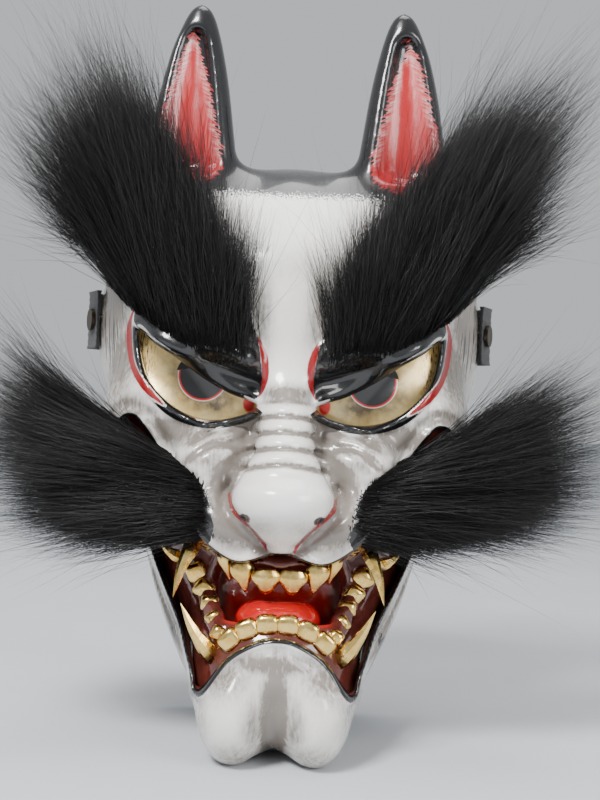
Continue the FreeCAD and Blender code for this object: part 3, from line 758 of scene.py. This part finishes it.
def frame_along(line):
    """Two directions square to each point of a line."""
    ahead = np.gradient(line, axis=0)
    ahead /= np.linalg.norm(ahead, axis=1, keepdims=True)
    guide = np.array([0.31, -0.9, 0.3])
    one = np.cross(ahead, guide)
    one /= np.linalg.norm(one, axis=1, keepdims=True)
    return one, np.cross(ahead, one)


def ring_faces(count, sides):
    """Quads between rings of points, and fans to an end point at each end, numbered after the rings."""
    ids = np.arange(count * sides).reshape(count, sides)
    after = np.roll(ids, -1, 1)
    quads = np.stack([ids[:-1], after[:-1], after[1:], ids[1:]], -1).reshape(-1, 4)
    start, end = count * sides, count * sides + 1
    caps = np.vstack([np.stack([np.full(sides, start), after[0], ids[0]], -1),
                      np.stack([np.full(sides, end), ids[-1], after[-1]], -1)])
    return quads, caps


def tube(line, radii, sides, squash=1.0, twist=0.0):
    """Points and quads of a closed, tapered tube, and how far along each point is."""
    line = np.asarray(line, float)
    one, two = frame_along(line)
    turns = np.linspace(0, 2 * np.pi, sides, endpoint=False) + twist
    rings = (line[:, None] + one[:, None] * np.cos(turns)[None, :, None] * radii[:, None, None]
             + two[:, None] * (np.sin(turns) * squash)[None, :, None] * radii[:, None, None])
    count = len(line)
    points = np.vstack([rings.reshape(-1, 3), line[:1], line[-1:]])
    quads, caps = ring_faces(count, sides)
    along = np.concatenate([np.repeat(np.linspace(0, 1, count), sides), [0, 1]])
    return points, quads, caps, along


def join(parts):
    """Several (points, quads, triangles, along) as one."""
    points, quads, triangles, along, base = [], [], [], [], 0
    for p, q, t, a in parts:
        points.append(p)
        quads.append(q + base)
        triangles.append(t + base)
        along.append(a)
        base += len(p)
    return np.vstack(points), np.vstack(quads), np.vstack(triangles), np.concatenate(along)


def horn(foot, tip, radius, bow, sides=7):
    """A curved, faceted fang."""
    foot, tip = np.array(foot, float), np.array(tip, float)
    middle = (foot + tip) / 2 + np.array(bow, float)
    line = open_curve([foot, middle, tip], 7)
    t = np.linspace(0, 1, len(line))
    radii = (radius * np.clip((1 - t ** 1.5) ** 0.9, 0.02, 1)
             * (0.92 + 0.16 * np.sin(np.pi * np.minimum(t * 2.4, 1))))
    return tube(line, radii, sides, 0.85)


def tooth(root, length, wide, thick, point=0.5, lean=(0, 0, 0)):
    """A spade-shaped tooth that grows along length from its root; point says how pointed it is."""
    root, grow = np.array(root, float), np.array(length, float)
    t = np.linspace(0, 1, 12)
    line = root + t[:, None] * grow + (t ** 2)[:, None] * np.array(lean, float)
    shape = ((1 - t ** (2.6 - 1.4 * point)) ** (0.5 + 0.35 * point)
             * (0.86 + 0.28 * np.sin(np.pi * np.minimum(1.4 * t, 1))))
    shape = np.maximum(shape, 0.03)
    ahead = grow / np.linalg.norm(grow)
    across = np.cross(ahead, (0.0, -1.0, 0.0))
    across /= np.linalg.norm(across)
    forward = np.cross(across, ahead)
    turns = np.linspace(0, 2 * np.pi, 14, endpoint=False)
    rings = (line[:, None] + across * (np.cos(turns) * wide)[None, :, None] * shape[:, None, None]
             + forward * (np.sin(turns) * thick)[None, :, None] * (shape ** 0.7)[:, None, None])
    count, sides = len(line), len(turns)
    points = np.vstack([rings.reshape(-1, 3), line[:1], line[-1:]])
    quads, caps = ring_faces(count, sides)
    return points, quads, caps, np.concatenate([np.repeat(t, sides), [0, 1]])


def bead(centre, radii, lobes=0.0, turn=0.4, square=1.0):
    """A rounded lump, with four soft lobes where lobes is above 0, and boxy where square is under 1."""
    lat = np.linspace(-np.pi / 2, np.pi / 2, 13)[1:-1]
    lon = np.linspace(0, 2 * np.pi, 24, endpoint=False)
    la, lo = np.meshgrid(lat, lon, indexing="ij")
    swell = 1.0 + lobes * np.cos(4 * (lo + turn)) * np.cos(la) ** 2
    unit = np.stack([np.cos(la) * np.cos(lo) * swell, np.sin(la), np.cos(la) * np.sin(lo) * swell], -1)
    unit = np.sign(unit) * np.abs(unit) ** square
    dent = 1.0 - 1.6 * lobes * np.clip(-np.sin(la), 0, 1) ** 6
    unit[..., 1] *= dent
    points = unit.reshape(-1, 3)
    points = np.vstack([points, [[0, -1 + 1.6 * lobes, 0], [0, 1, 0]]]) * radii + np.array(centre, float)
    rows, sides = len(lat), len(lon)
    ids = np.arange(rows * sides).reshape(rows, sides)
    after = np.roll(ids, -1, 1)
    quads = np.stack([ids[:-1], ids[1:], after[1:], after[:-1]], -1).reshape(-1, 4)
    low, high = rows * sides, rows * sides + 1
    caps = np.vstack([np.stack([np.full(sides, low), ids[0], after[0]], -1),
                      np.stack([np.full(sides, high), after[-1], ids[-1]], -1)])
    along = np.concatenate([np.repeat(0.5 - 0.5 * np.sin(lat), sides), [1, 0]])
    return points, quads[:, ::-1], caps[:, ::-1], along


def make_metal(name, parts, nodes, material, flat=False):
    points, quads, triangles, along = join(parts)
    obj = make_mesh(name, points, (quads, triangles))
    if flat:
        obj.data.shade_flat()
    tell(obj, "foot", along)
    return fit(obj, nodes, material)


def on_lining(x, z, proud=0.0):
    return np.array([x, float(front_at(np.array([abs(x)]), np.array([z]), -4.0)[0]) - proud, z])


LOWER_MOLARS = [(42.0, -96.0, 6.4), (38.0, -103.8, 5.8), (34.6, -110.3, 5.2), (31.4, -115.8, 4.8),
                (28.4, -120.8, 4.4)]
UPPER_MOLARS = [(47.0, -77.0, 4.8), (53.5, -71.5, 4.6)]
UPPER_TEETH = [  # foot, direction and length, half-width, how pointed
    ((6.6, -94.0, -89.5), (-0.3, -2.0, -12.5), 6.9, 0.05),
    ((19.4, -90.5, -87.0), (-3.0, -2.0, -15.0), 6.1, 0.75),
    ((28.4, -85.5, -83.0), (-4.0, -1.5, -14.5), 4.2, 1.0)]
LOWER_TEETH = [(4.9, -114.4, 0.0), (14.4, -117.2, 0.35), (22.6, -122.6, 0.75)]


def mirror(point, side):
    return np.array(point, float) * (side, 1, 1)


FANGS = [  # node, foot, tip, radius, bow, sides (+X)
    ("upper_{}_fang", (41.5, -88, -76), (51.2, -103, -104), 4.3, (1.4, -2, 0.6), 7),
    ("lower_{}_fang", (30.0, -101, -133), (47.0, -107, -106), 4.6, (1.0, -2, -0.5), 7),
    ("upper_{}_side_fang", (50, -84, -87), (60.5, -86, -78.5), 3.2, (0.6, -1.5, -0.8), 6)]
MOLARS = [("lower", LOWER_MOLARS, 0.92, 0.10, 0.4),      # row, spots, height, lobes, turn
          ("upper", UPPER_MOLARS, 0.95, 0.12, 0.2)]


def make_fangs(gold):
    """Long faceted brass fangs, two above and two below, and a short one beside each upper fang."""
    for name, side in SIDES.items():
        for row, foot, tip, radius, bow, sides in FANGS:
            node = row.format(name)
            spike = horn(mirror(foot, side), mirror(tip, side), radius, mirror(bow, side), sides)
            make_metal(node + "_piece", [spike], (node,), gold, True)


def make_teeth():
    gold, tipped, plain = brass("brass_fangs"), brass("brass_teeth", tipped=True), brass("brass_molars")
    make_fangs(gold)
    for name, side in SIDES.items():
        for row, spots, height, lobes, turn in MOLARS:
            lumps = [bead(on_lining(side * x, z, 1.2), (r, 4.4, r * height), lobes, turn + k)
                     for k, (x, z, r) in enumerate(spots)]
            node = f"{row}_{name}_molars"
            make_metal(node + "_piece", lumps, (node,), plain)
    upper = [tooth(mirror(foot, side), mirror(way, side), wide, 3.4, point)
             for foot, way, wide, point in UPPER_TEETH for side in (-1, 1)]
    make_metal("upper_front_teeth_piece", upper, ("upper_front_teeth",), tipped)
    lower = []
    for x, z, lean in LOWER_TEETH:
        for side in (-1, 1):
            spot = on_lining(side * x, z, 0.6)
            lump = bead((0, 0, 0), (5.7, 4.2, 5.2), 0.03, 0.4, 0.62)
            turned = lump[0].copy()
            angle = side * lean
            turned[:, 0] = lump[0][:, 0] * math.cos(angle) + lump[0][:, 2] * math.sin(angle)
            turned[:, 2] = -lump[0][:, 0] * math.sin(angle) + lump[0][:, 2] * math.cos(angle)
            lower.append((turned + spot,) + lump[1:])
    make_metal("lower_front_teeth_piece", lower, ("lower_front_teeth",), plain)


# ------------------------------------------------------------------ eyes
PUPIL, PUPIL_RADIUS = (44.0, 4.5), 12.0          # the pupil, painted black as painted shade for the dark inside behind a real eye hole, in the front view (+X)


def eye_paint():
    paint = Paint("painted_brass", Metallic=0.4, Roughness=0.28, Coat_Weight=0.5, Coat_Roughness=0.08)
    tone = paint.mix(paint.span(paint.noise(90, detail=3.0), 0.3, 0.7),
                     (0.72, 0.48, 0.15, 1), (0.92, 0.72, 0.34, 1))
    mottle = paint.times(paint.number("dusk"),
                         paint.span(paint.noise(260, detail=4.0), 0.25, 0.75, 0.6, 1.25))
    tone = paint.mix(paint.span(mottle, 0.0, 1.0, 0.0, 0.92), tone, (0.045, 0.032, 0.024, 1))
    lashes = paint.times(paint.span(paint.noise(1500, (1, 1, 0.12), 2.0), 0.52, 0.6), paint.number("lashes"))
    tone = paint.mix(lashes, tone, (0.10, 0.03, 0.02, 1))
    tone = paint.mix(paint.within(paint.number("blood"), 0.4), tone, (0.55, 0.02, 0.015, 1))
    for ring, colour in ((1.3, (0.72, 0.68, 0.62, 1)), (0.9, (0.55, 0.015, 0.012, 1))):
        tone = paint.mix(paint.within(paint.minus(paint.number("pupil"), ring), 0.2), tone, colour)
    # painted shade: the pupil is painted black where the real plate has a hole onto the dark inside of the
    # mask
    tone = paint.mix(paint.within(paint.number("pupil"), 0.2), tone, (0.004, 0.004, 0.005, 1))
    paint.put(paint.span(paint.number("pupil"), -0.3, 0.3, 0.0, 0.45), paint.shader.inputs["Metallic"])
    paint.bump(paint.noise(300, detail=3.0), 0.15, 0.0004)
    return paint.finish(tone)


def make_eyes():
    """A domed plate behind each eye opening, painted round its pupil; the black pupil is painted shade, as
    the plate has no see-through hole.
    """
    inside_x, inside_z = np.meshgrid(np.arange(10, 90, 2.0), np.arange(-24, 38, 2.0), indexing="ij")
    near = to_outline(inside_x, inside_z, EYE) < 2
    sx, sz = inside_x[near], inside_z[near]
    sy = front_at(sx, sz, -5.0)

    def terms(x, z):
        return np.stack([np.ones_like(x), x, z, x * x, x * z, z * z], -1)

    shape, *_ = np.linalg.lstsq(terms(sx, sz), sy, rcond=None)
    xs, zs = np.arange(10, 92, 0.8), np.arange(-26, 40, 0.8)
    gx, gz = np.meshgrid(xs, zs, indexing="ij")
    gy = terms(gx, gz) @ shape
    keep = to_outline(gx, gz, EYE) < 4.5
    ids = np.arange(gx.size).reshape(gx.shape)
    cells = keep[:-1, :-1] & keep[1:, :-1] & keep[1:, 1:] & keep[:-1, 1:]
    quads = np.stack([ids[:-1, :-1], ids[:-1, 1:], ids[1:, 1:], ids[1:, :-1]], -1)[cells]
    used, flat = np.unique(quads, return_inverse=True)
    quads = flat.reshape(quads.shape)
    points = np.stack([gx, gy, gz], -1).reshape(-1, 3)[used]
    material = eye_paint()
    for name, side in SIDES.items():
        obj = make_mesh(f"{name}_eye", points * (side, 1, 1), (quads if side > 0 else quads[:, ::-1],))
        wall = obj.modifiers.new("wall", "SOLIDIFY")
        wall.thickness = 0.9 * MM
        wall.offset = -1.0
        apply_modifiers(obj)
        p = places(obj)
        x, z = np.abs(p[:, 0]), p[:, 2]
        tell(obj, "pupil", np.hypot(x - PUPIL[0], z - PUPIL[1]) - PUPIL_RADIUS)
        dusk = bell(np.hypot((x - 36) / 1.5, z + 8), 8.5) + 0.8 * bell(np.hypot(x - 54, (z - 2) * 0.8), 14)
        tell(obj, "dusk", np.clip(dusk, 0, 1))
        tell(obj, "lashes", step(x, 66, 76))
        tell(obj, "blood", np.hypot(x - 19.5, (z + 9) * 0.7) - 3.0)
        fit(obj, (f"{name}_eye_plate",), material)


# ------------------------------------------------------------------ hair
HAIR_REACH = 172.0            # furthest that a hair goes sideways from the middle


def hair_paint():
    paint = Paint("black_hair", Roughness=0.36, Specular_IOR_Level=0.35)
    tone = paint.mix(paint.span(paint.number("hue"), 0.0, 1.0),
                     (0.0025, 0.0025, 0.003, 1), (0.012, 0.010, 0.009, 1))
    return paint.finish(tone)


def along_row(row, share):
    """Points along a row of control points, at shares from 0 to 1."""
    row = np.array(row, float)
    at = np.linspace(0, 1, len(row))
    return np.stack([np.interp(share, at, row[:, k]) for k in range(row.shape[1])], -1)


def root_places(rng, count, outline, inner_edge, thin):
    """Roots inside an outline, fewer of them near its inner edge, given as (height, x) stations."""
    region = closed_curve(outline)
    low, high = region.min(0), region.max(0)
    x, z = np.empty(0), np.empty(0)
    while len(x) < count:
        px, pz = rng.uniform(low[0], high[0], count), rng.uniform(low[1], high[1], count)
        deep = -to_outline(px, pz, region)
        start = np.interp(pz, [e[0] for e in inner_edge], [e[1] for e in inner_edge])
        keep = 0.02 + 0.98 * np.clip((px - start) / thin, 0, 1) ** 1.6
        good = (deep > 0) & (rng.uniform(0, 1, count) < keep)
        x, z = np.append(x, px[good])[:count], np.append(z, pz[good])[:count]
    return x, z


def strands(name, node, count, tuft, tips, side, seed, material, steps=5):
    """A tuft of tapered hairs, whose tips fan out along a row of places."""
    rng = np.random.default_rng(seed)
    x, z = root_places(rng, count, tuft["roots"], tuft["inner_edge"], tuft["thin"])
    roots = np.stack([x, front_at(x, z, 0.3), z], -1)
    start, end = np.array(tuft["from"], float), np.array(tuft["to"], float)
    axis = end - start
    share = np.clip(((x - start[0]) * axis[0] + (z - start[1]) * axis[1]) / (axis @ axis), 0, 1)
    share = np.clip(share + rng.normal(0, 0.07, count), 0, 1)
    clumps = rng.integers(0, count, tuft["clumps"])
    nearest = np.argmin((x[:, None] - x[clumps]) ** 2 + (z[:, None] - z[clumps]) ** 2, 1)
    stray = rng.uniform(0, 1, count) < 0.07
    own = rng.normal(0, 1, (count, 3)) * np.where(stray, 1.8, 0.75)[:, None] * tuft["spread"]
    shared = rng.normal(0, 1, (tuft["clumps"], 3)) * np.array(tuft["spread"]) * 0.95
    goal = along_row(tips, share) + own + shared[nearest]
    reach = rng.beta(1.9, 1.25, count) * 0.85 + 0.25
    reach = reach * (0.82 + 0.32 * rng.uniform(0, 1, tuft["clumps"])[nearest])
    goal = roots + (goal - roots) * np.minimum(reach, 1.12)[:, None]
    length = np.linalg.norm(goal - roots, axis=1, keepdims=True)
    rise = np.array(tuft["rise"], float) + rng.normal(0, 0.10, (count, 3))
    knee = roots + (goal - roots) * 0.30 + rise * length * 0.26
    t = np.linspace(0, 1, steps + 1)[None, :, None]
    path = roots[:, None] * (1 - t) ** 2 + knee[:, None] * 2 * t * (1 - t) + goal[:, None] * t ** 2
    lead = clumps[nearest]
    path = path + (path[lead] - path) * (t ** 2 * 0.30) * np.where(stray, 0, 1)[:, None, None]
    wave = rng.normal(0, 1, (count, 1, 3)) * np.sin(t * np.pi * rng.uniform(0.8, 2.4, (count, 1, 1)))
    path = path + wave * t * 0.034 * length[:, :, None]
    flat = path.reshape(-1, 3)
    sunk = head(flat[:, 0], flat[:, 1], flat[:, 2])
    flat[:, 1] -= np.where((flat[:, 1] < 0) & (sunk < 0.8), 0.8 - sunk, 0.0) * 1.2
    flat[:, 0] = np.minimum(flat[:, 0], HAIR_REACH)
    path = flat.reshape(path.shape)
    thick = tuft["thick"] * rng.uniform(0.7, 1.25, count)
    ahead = np.gradient(path, axis=1)
    ahead /= np.linalg.norm(ahead, axis=2, keepdims=True) + 1e-9
    one = np.cross(ahead, rng.normal(0, 1, (count, 1, 3)))
    one /= np.linalg.norm(one, axis=2, keepdims=True) + 1e-9
    two = np.cross(ahead, one)
    taper = np.array([1.0, 1.0, 0.9, 0.7, 0.45, 0.08])
    points = []
    for k in range(3):
        turn = 2 * np.pi * k / 3
        spoke = one * math.cos(turn) + two * math.sin(turn)
        points.append(path + spoke * thick[:, None, None] * taper[None, :, None])
    points = np.stack(points, 2)
    points[:, :, :, 0] *= side
    ids = np.arange(count * (steps + 1) * 3).reshape(count, steps + 1, 3)
    after = np.roll(ids, -1, 2)
    quads = np.stack([ids[:, :-1], after[:, :-1], after[:, 1:], ids[:, 1:]], -1).reshape(-1, 4)
    ends = np.vstack([ids[:, 0, ::-1], ids[:, -1]])
    if side < 0:
        quads, ends = quads[:, ::-1], ends[:, ::-1]
    obj = make_mesh(name, points.reshape(-1, 3), (quads, ends))
    tell(obj, "hue", np.repeat(rng.uniform(0, 1, count) ** 2, (steps + 1) * 3))
    return fit(obj, node, material)


BROW = {"roots": [(15, 14), (34, 10), (55, 19), (78, 33), (95, 50), (92, 72), (76, 88), (58, 97), (44, 94),
                  (30, 72), (18, 42)],
        "inner_edge": [(10, 11), (42, 17), (72, 30), (94, 44)],
        "from": (17, 40), "to": (93, 58), "thin": 25.0, "clumps": 170, "spread": (9, 9, 9),
        "rise": (0.05, -0.50, 0.30), "thick": 0.13}
BROW_TIPS = {
    "left": [(21, -76, 84), (42, -74, 104), (58, -68, 114), (82, -64, 158), (106, -62, 182),
             (150, -60, 154), (140, -58, 94)],
    "right": [(18, -76, 84), (36, -74, 98), (62, -68, 110), (90, -66, 140), (118, -62, 168),
              (156, -60, 174), (146, -58, 96)]}
MOUSTACHE = {"roots": [(34, -66), (40, -50), (52, -39), (66, -33), (80, -33), (84, -45), (72, -60),
                       (56, -72), (40, -77)],
             "inner_edge": [(-80, 34), (-30, 34)],
             "from": (44, -74), "to": (62, -32), "thin": 8.0, "clumps": 130, "spread": (9, 10, 9),
             "rise": (0.35, -0.50, 0.05), "thick": 0.13}
MOUSTACHE_TIPS = {"left": [(112, -74, -84), (150, -72, -64), (160, -70, -28), (156, -66, 14)],
                  "right": [(104, -74, -78), (154, -72, -62), (164, -70, -28), (152, -66, 16)]}


def make_hair():
    material = hair_paint()
    for k, (name, side) in enumerate(SIDES.items()):
        for layer in range(2):
            strands(f"{name}_brow_hair_{layer}", (f"{name}_brow_fur", f"{name}_brow_hide")[layer:layer + 1],
                    6000, BROW, BROW_TIPS[name], side, 11 + 10 * k + layer, material)
            strands(f"{name}_moustache_hair_{layer}",
                    (f"{name}_moustache_fur", f"{name}_moustache_hide")[layer:layer + 1],
                    5600, MOUSTACHE, MOUSTACHE_TIPS[name], side, 31 + 10 * k + layer, material)


# ------------------------------------------------------------------ pads, strap and small CAD nodes
FOREHEAD_PAD = closed_curve([(-34, 66), (34, 66), (42, 80), (30, 92), (-30, 92), (-42, 80)])
CHIN_PAD = closed_curve([(-20, -152), (20, -152), (22, -142), (16, -134), (-16, -134), (-22, -142)])


def felt_paint():
    paint = Paint("wool_felt", Roughness=0.95, Sheen_Weight=0.5)
    tone = paint.mix(paint.noise(900, detail=6.0), (0.42, 0.40, 0.37, 1), (0.70, 0.68, 0.63, 1))
    fibre = paint.plus(paint.noise(2600, (1, 0.3, 1), 4.0), paint.noise(500, detail=2.0))
    paint.bump(fibre, 0.6, 0.0004)
    return paint.finish(tone)


def make_pad(name, node, outline, low, high, material):
    """A soft felt pad against the inside of the shell, full in its middle.

    Known faults: the chin pad's outline lies above its CAD solid, and its grid misses the inside of the
    skin there, so it comes out as a 0.2 mm speck; the forehead pad is about half as tall as its solid.
    """
    voxel = 1.0
    axes, (x, y, z), flat = sampled(low, high, voxel)
    edge = to_outline(*flat, outline)[:, None, :] + 0.6
    skin = head(x, y, z) + WALL + 0.7
    thick = 8.6 - 2.6 * bell(edge, 5.0)
    form = smax(smax(skin, -(skin + thick), 4.0), edge + 0 * x, 5.0)
    obj = mesh_of(name, form, axes, voxel)
    fit(obj, (node,), material)


def webbing_paint(name, colour, light, cell):
    paint = Paint(name, Roughness=0.8, Sheen_Weight=0.3)
    across = paint.node("ShaderNodeTexWave", {"Vector": paint.place(), "Scale": cell, "Distortion": 0.4},
                        bands_direction="Z").outputs["Fac"]
    warp = paint.node("ShaderNodeTexWave", {"Vector": paint.place(), "Scale": cell, "Distortion": 0.4},
                      bands_direction="DIAGONAL").outputs["Fac"]
    weave = paint.times(across, warp)
    paint.bump(weave, 0.7, 0.0005)
    return paint.finish(paint.mix(weave, colour, light))


def make_strap():
    """A woven band round the back of the head, with a fold of spare band over each temple end."""
    bend, end, thick = np.array((WIDEST + 9.0, 0.0)), np.array((WIDEST + 0.6, -20.0)), 2.4
    crest = 66.0
    radius = (bend[0] ** 2 + (crest - 1.2) ** 2) / (2 * (crest - 1.2))
    centre = crest - 1.2 - radius
    reach = math.atan2(bend[0], bend[1] - centre)
    turns = np.linspace(-reach, reach, 121)
    arc = np.stack([radius * np.sin(turns), centre + radius * np.cos(turns)], -1)
    left = np.array([(-end[0] - 1.2, end[1]), (-bend[0] - 0.6, bend[1] - 2.0)])
    line = np.vstack([left, arc, left[::-1] * (-1, 1)])
    gaps = np.concatenate([[0], np.cumsum(np.linalg.norm(np.diff(line, axis=0), axis=1))])
    spots = np.linspace(0, gaps[-1], 240)
    line = np.stack([np.interp(spots, gaps, line[:, k]) for k in range(2)], -1)
    way = np.gradient(line, axis=0)
    way /= np.linalg.norm(way, axis=1, keepdims=True)
    out = np.stack([-way[:, 1], way[:, 0]], -1)
    heights = np.linspace(-16, 16, 33)
    rib = 0.16 * np.cos(heights * 2 * np.pi / 4.0) + 0.35 * step(np.abs(heights), 13.4, 14.4)
    sway = 0.5 * np.sin(spots / 31.0)[:, None] * np.cos(heights / 9.0)[None, :]
    rings = []
    for face, order in ((1, slice(None)), (-1, slice(None, None, -1))):
        push = (face * (thick / 2 - 0.45) + face * rib)[None, :] + sway * 0.4
        xy = line[:, None] + out[:, None] * push[..., None]
        ring = np.concatenate([xy, np.broadcast_to((34.0 + heights)[None, :, None], xy.shape[:2] + (1,))], -1)
        rings.append(ring[:, order])
    ring = np.concatenate(rings, 1)
    count, sides = ring.shape[:2]
    ids = np.arange(count * sides).reshape(count, sides)
    after = np.roll(ids, -1, 1)
    quads = np.stack([ids[:-1], after[:-1], after[1:], ids[1:]], -1).reshape(-1, 4)
    half = sides // 2
    caps = []
    for end_ids, flip in ((ids[0], True), (ids[-1], False)):
        other = end_ids[::-1]
        strip = np.stack([end_ids[:half - 1], end_ids[1:half], other[1:half], other[:half - 1]], -1)
        caps.append(strip if not flip else strip[:, ::-1])
    obj = make_mesh("strap_band", ring.reshape(-1, 3), (quads, np.vstack(caps)))
    woven = webbing_paint("strap_webbing", (0.004, 0.004, 0.004, 1), (0.018, 0.018, 0.019, 1), 620)
    return fit(obj, ("head_strap",), woven)


def dress_nodes():
    """Materials of the CAD nodes that stay."""
    rivet = Paint("dark_rivet", Metallic=1.0, Roughness=0.4)
    rivet.bump(rivet.noise(900), 0.2, 0.0003)
    tone = rivet.mix(rivet.noise(400, detail=5.0), (0.035, 0.028, 0.018, 1), (0.10, 0.08, 0.05, 1))
    # painted shade: the near-black gauze behind each pupil hole stands in for the shade inside the mask
    gauze = webbing_paint("black_gauze", (0.002, 0.002, 0.002, 1), (0.012, 0.012, 0.012, 1), 900)
    looks = {"strap_rivet": rivet.finish(tone), "pupil_gauze": gauze}
    for name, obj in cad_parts.items():
        for ending, material in looks.items():
            if name.endswith(ending):
                obj.data.materials.clear()
                obj.data.materials.append(material)


# ------------------------------------------------------------------ floor, light and camera
LAMPS = [("key", (-0.6, -1.0, 1.2), 46, 0.45), ("fill", (1.1, -1.0, 0.5), 14, 0.7),
         ("top", (0.1, 0.1, 1.6), 14, 1.0)]          # name, place in metres, watts, width


def make_stage():
    """A plain pale floor under the mask, a grey sky and three soft lamps."""
    size = 6.0
    mesh = bpy.data.meshes.new("floor")
    height = cad_box[0][2] - 0.001
    corners = [(-size, -size), (size, -size), (size, size), (-size, size)]
    mesh.from_pydata([(x, y, height) for x, y in corners], [], [(0, 1, 2, 3)])
    floor = bpy.data.objects.new("floor", mesh)
    bpy.context.scene.collection.objects.link(floor)
    paint = Paint("floor_cloth", Roughness=0.85)
    tone = paint.mix(paint.noise(9, detail=4.0), (0.50, 0.52, 0.55, 1), (0.58, 0.60, 0.62, 1))
    floor.data.materials.append(paint.finish(tone))
    world = bpy.data.worlds.new("studio")
    bpy.context.scene.world = world
    world.use_nodes = True
    world.node_tree.nodes["Background"].inputs[0].default_value = (0.74, 0.76, 0.78, 1)
    world.node_tree.nodes["Background"].inputs[1].default_value = 0.78
    for name, place, power, width in LAMPS:
        light = bpy.data.lights.new(name, "AREA")
        light.energy = power
        light.size = width
        lamp = bpy.data.objects.new(name, light)
        bpy.context.scene.collection.objects.link(lamp)
        aim = np.array((0, -0.05, 0)) - np.array(place)
        lamp.location = place
        lamp.rotation_euler = Vector(aim).to_track_quat("-Z", "Y").to_euler()


def make_camera():
    """In front of the mask, at the height of its cheeks, rolled a little clockwise."""
    lens = bpy.data.cameras.new("camera")
    lens.sensor_fit = "AUTO"
    lens.sensor_width = 36.0
    lens.lens = 54.0
    camera = bpy.data.objects.new("camera", lens)
    bpy.context.scene.collection.objects.link(camera)
    tilt = math.radians(2.4)
    back = -Vector((13.0 / 1200.0, 1.0, 0.0)).normalized()
    right = Vector((math.cos(tilt), 0.0, math.sin(tilt)))
    up = back.cross(right).normalized()
    right = up.cross(back)
    turn = Matrix((right, up, back)).transposed().to_4x4()
    camera.matrix_world = Matrix.Translation((0.0, -0.684, -0.006)) @ turn
    bpy.context.scene.camera = camera


make_camera()
make_stage()
make_shell()
make_lining()
make_tongue()
make_teeth()
make_eyes()
make_hair()
felt = felt_paint()
make_pad("forehead_pad_piece", "forehead_pad", FOREHEAD_PAD, (-48, -84, 58), (48, -8, 100), felt)
make_pad("chin_pad_piece", "chin_pad", CHIN_PAD, (-28, -94, -160), (28, -38, -126), felt)
make_strap()
dress_nodes()
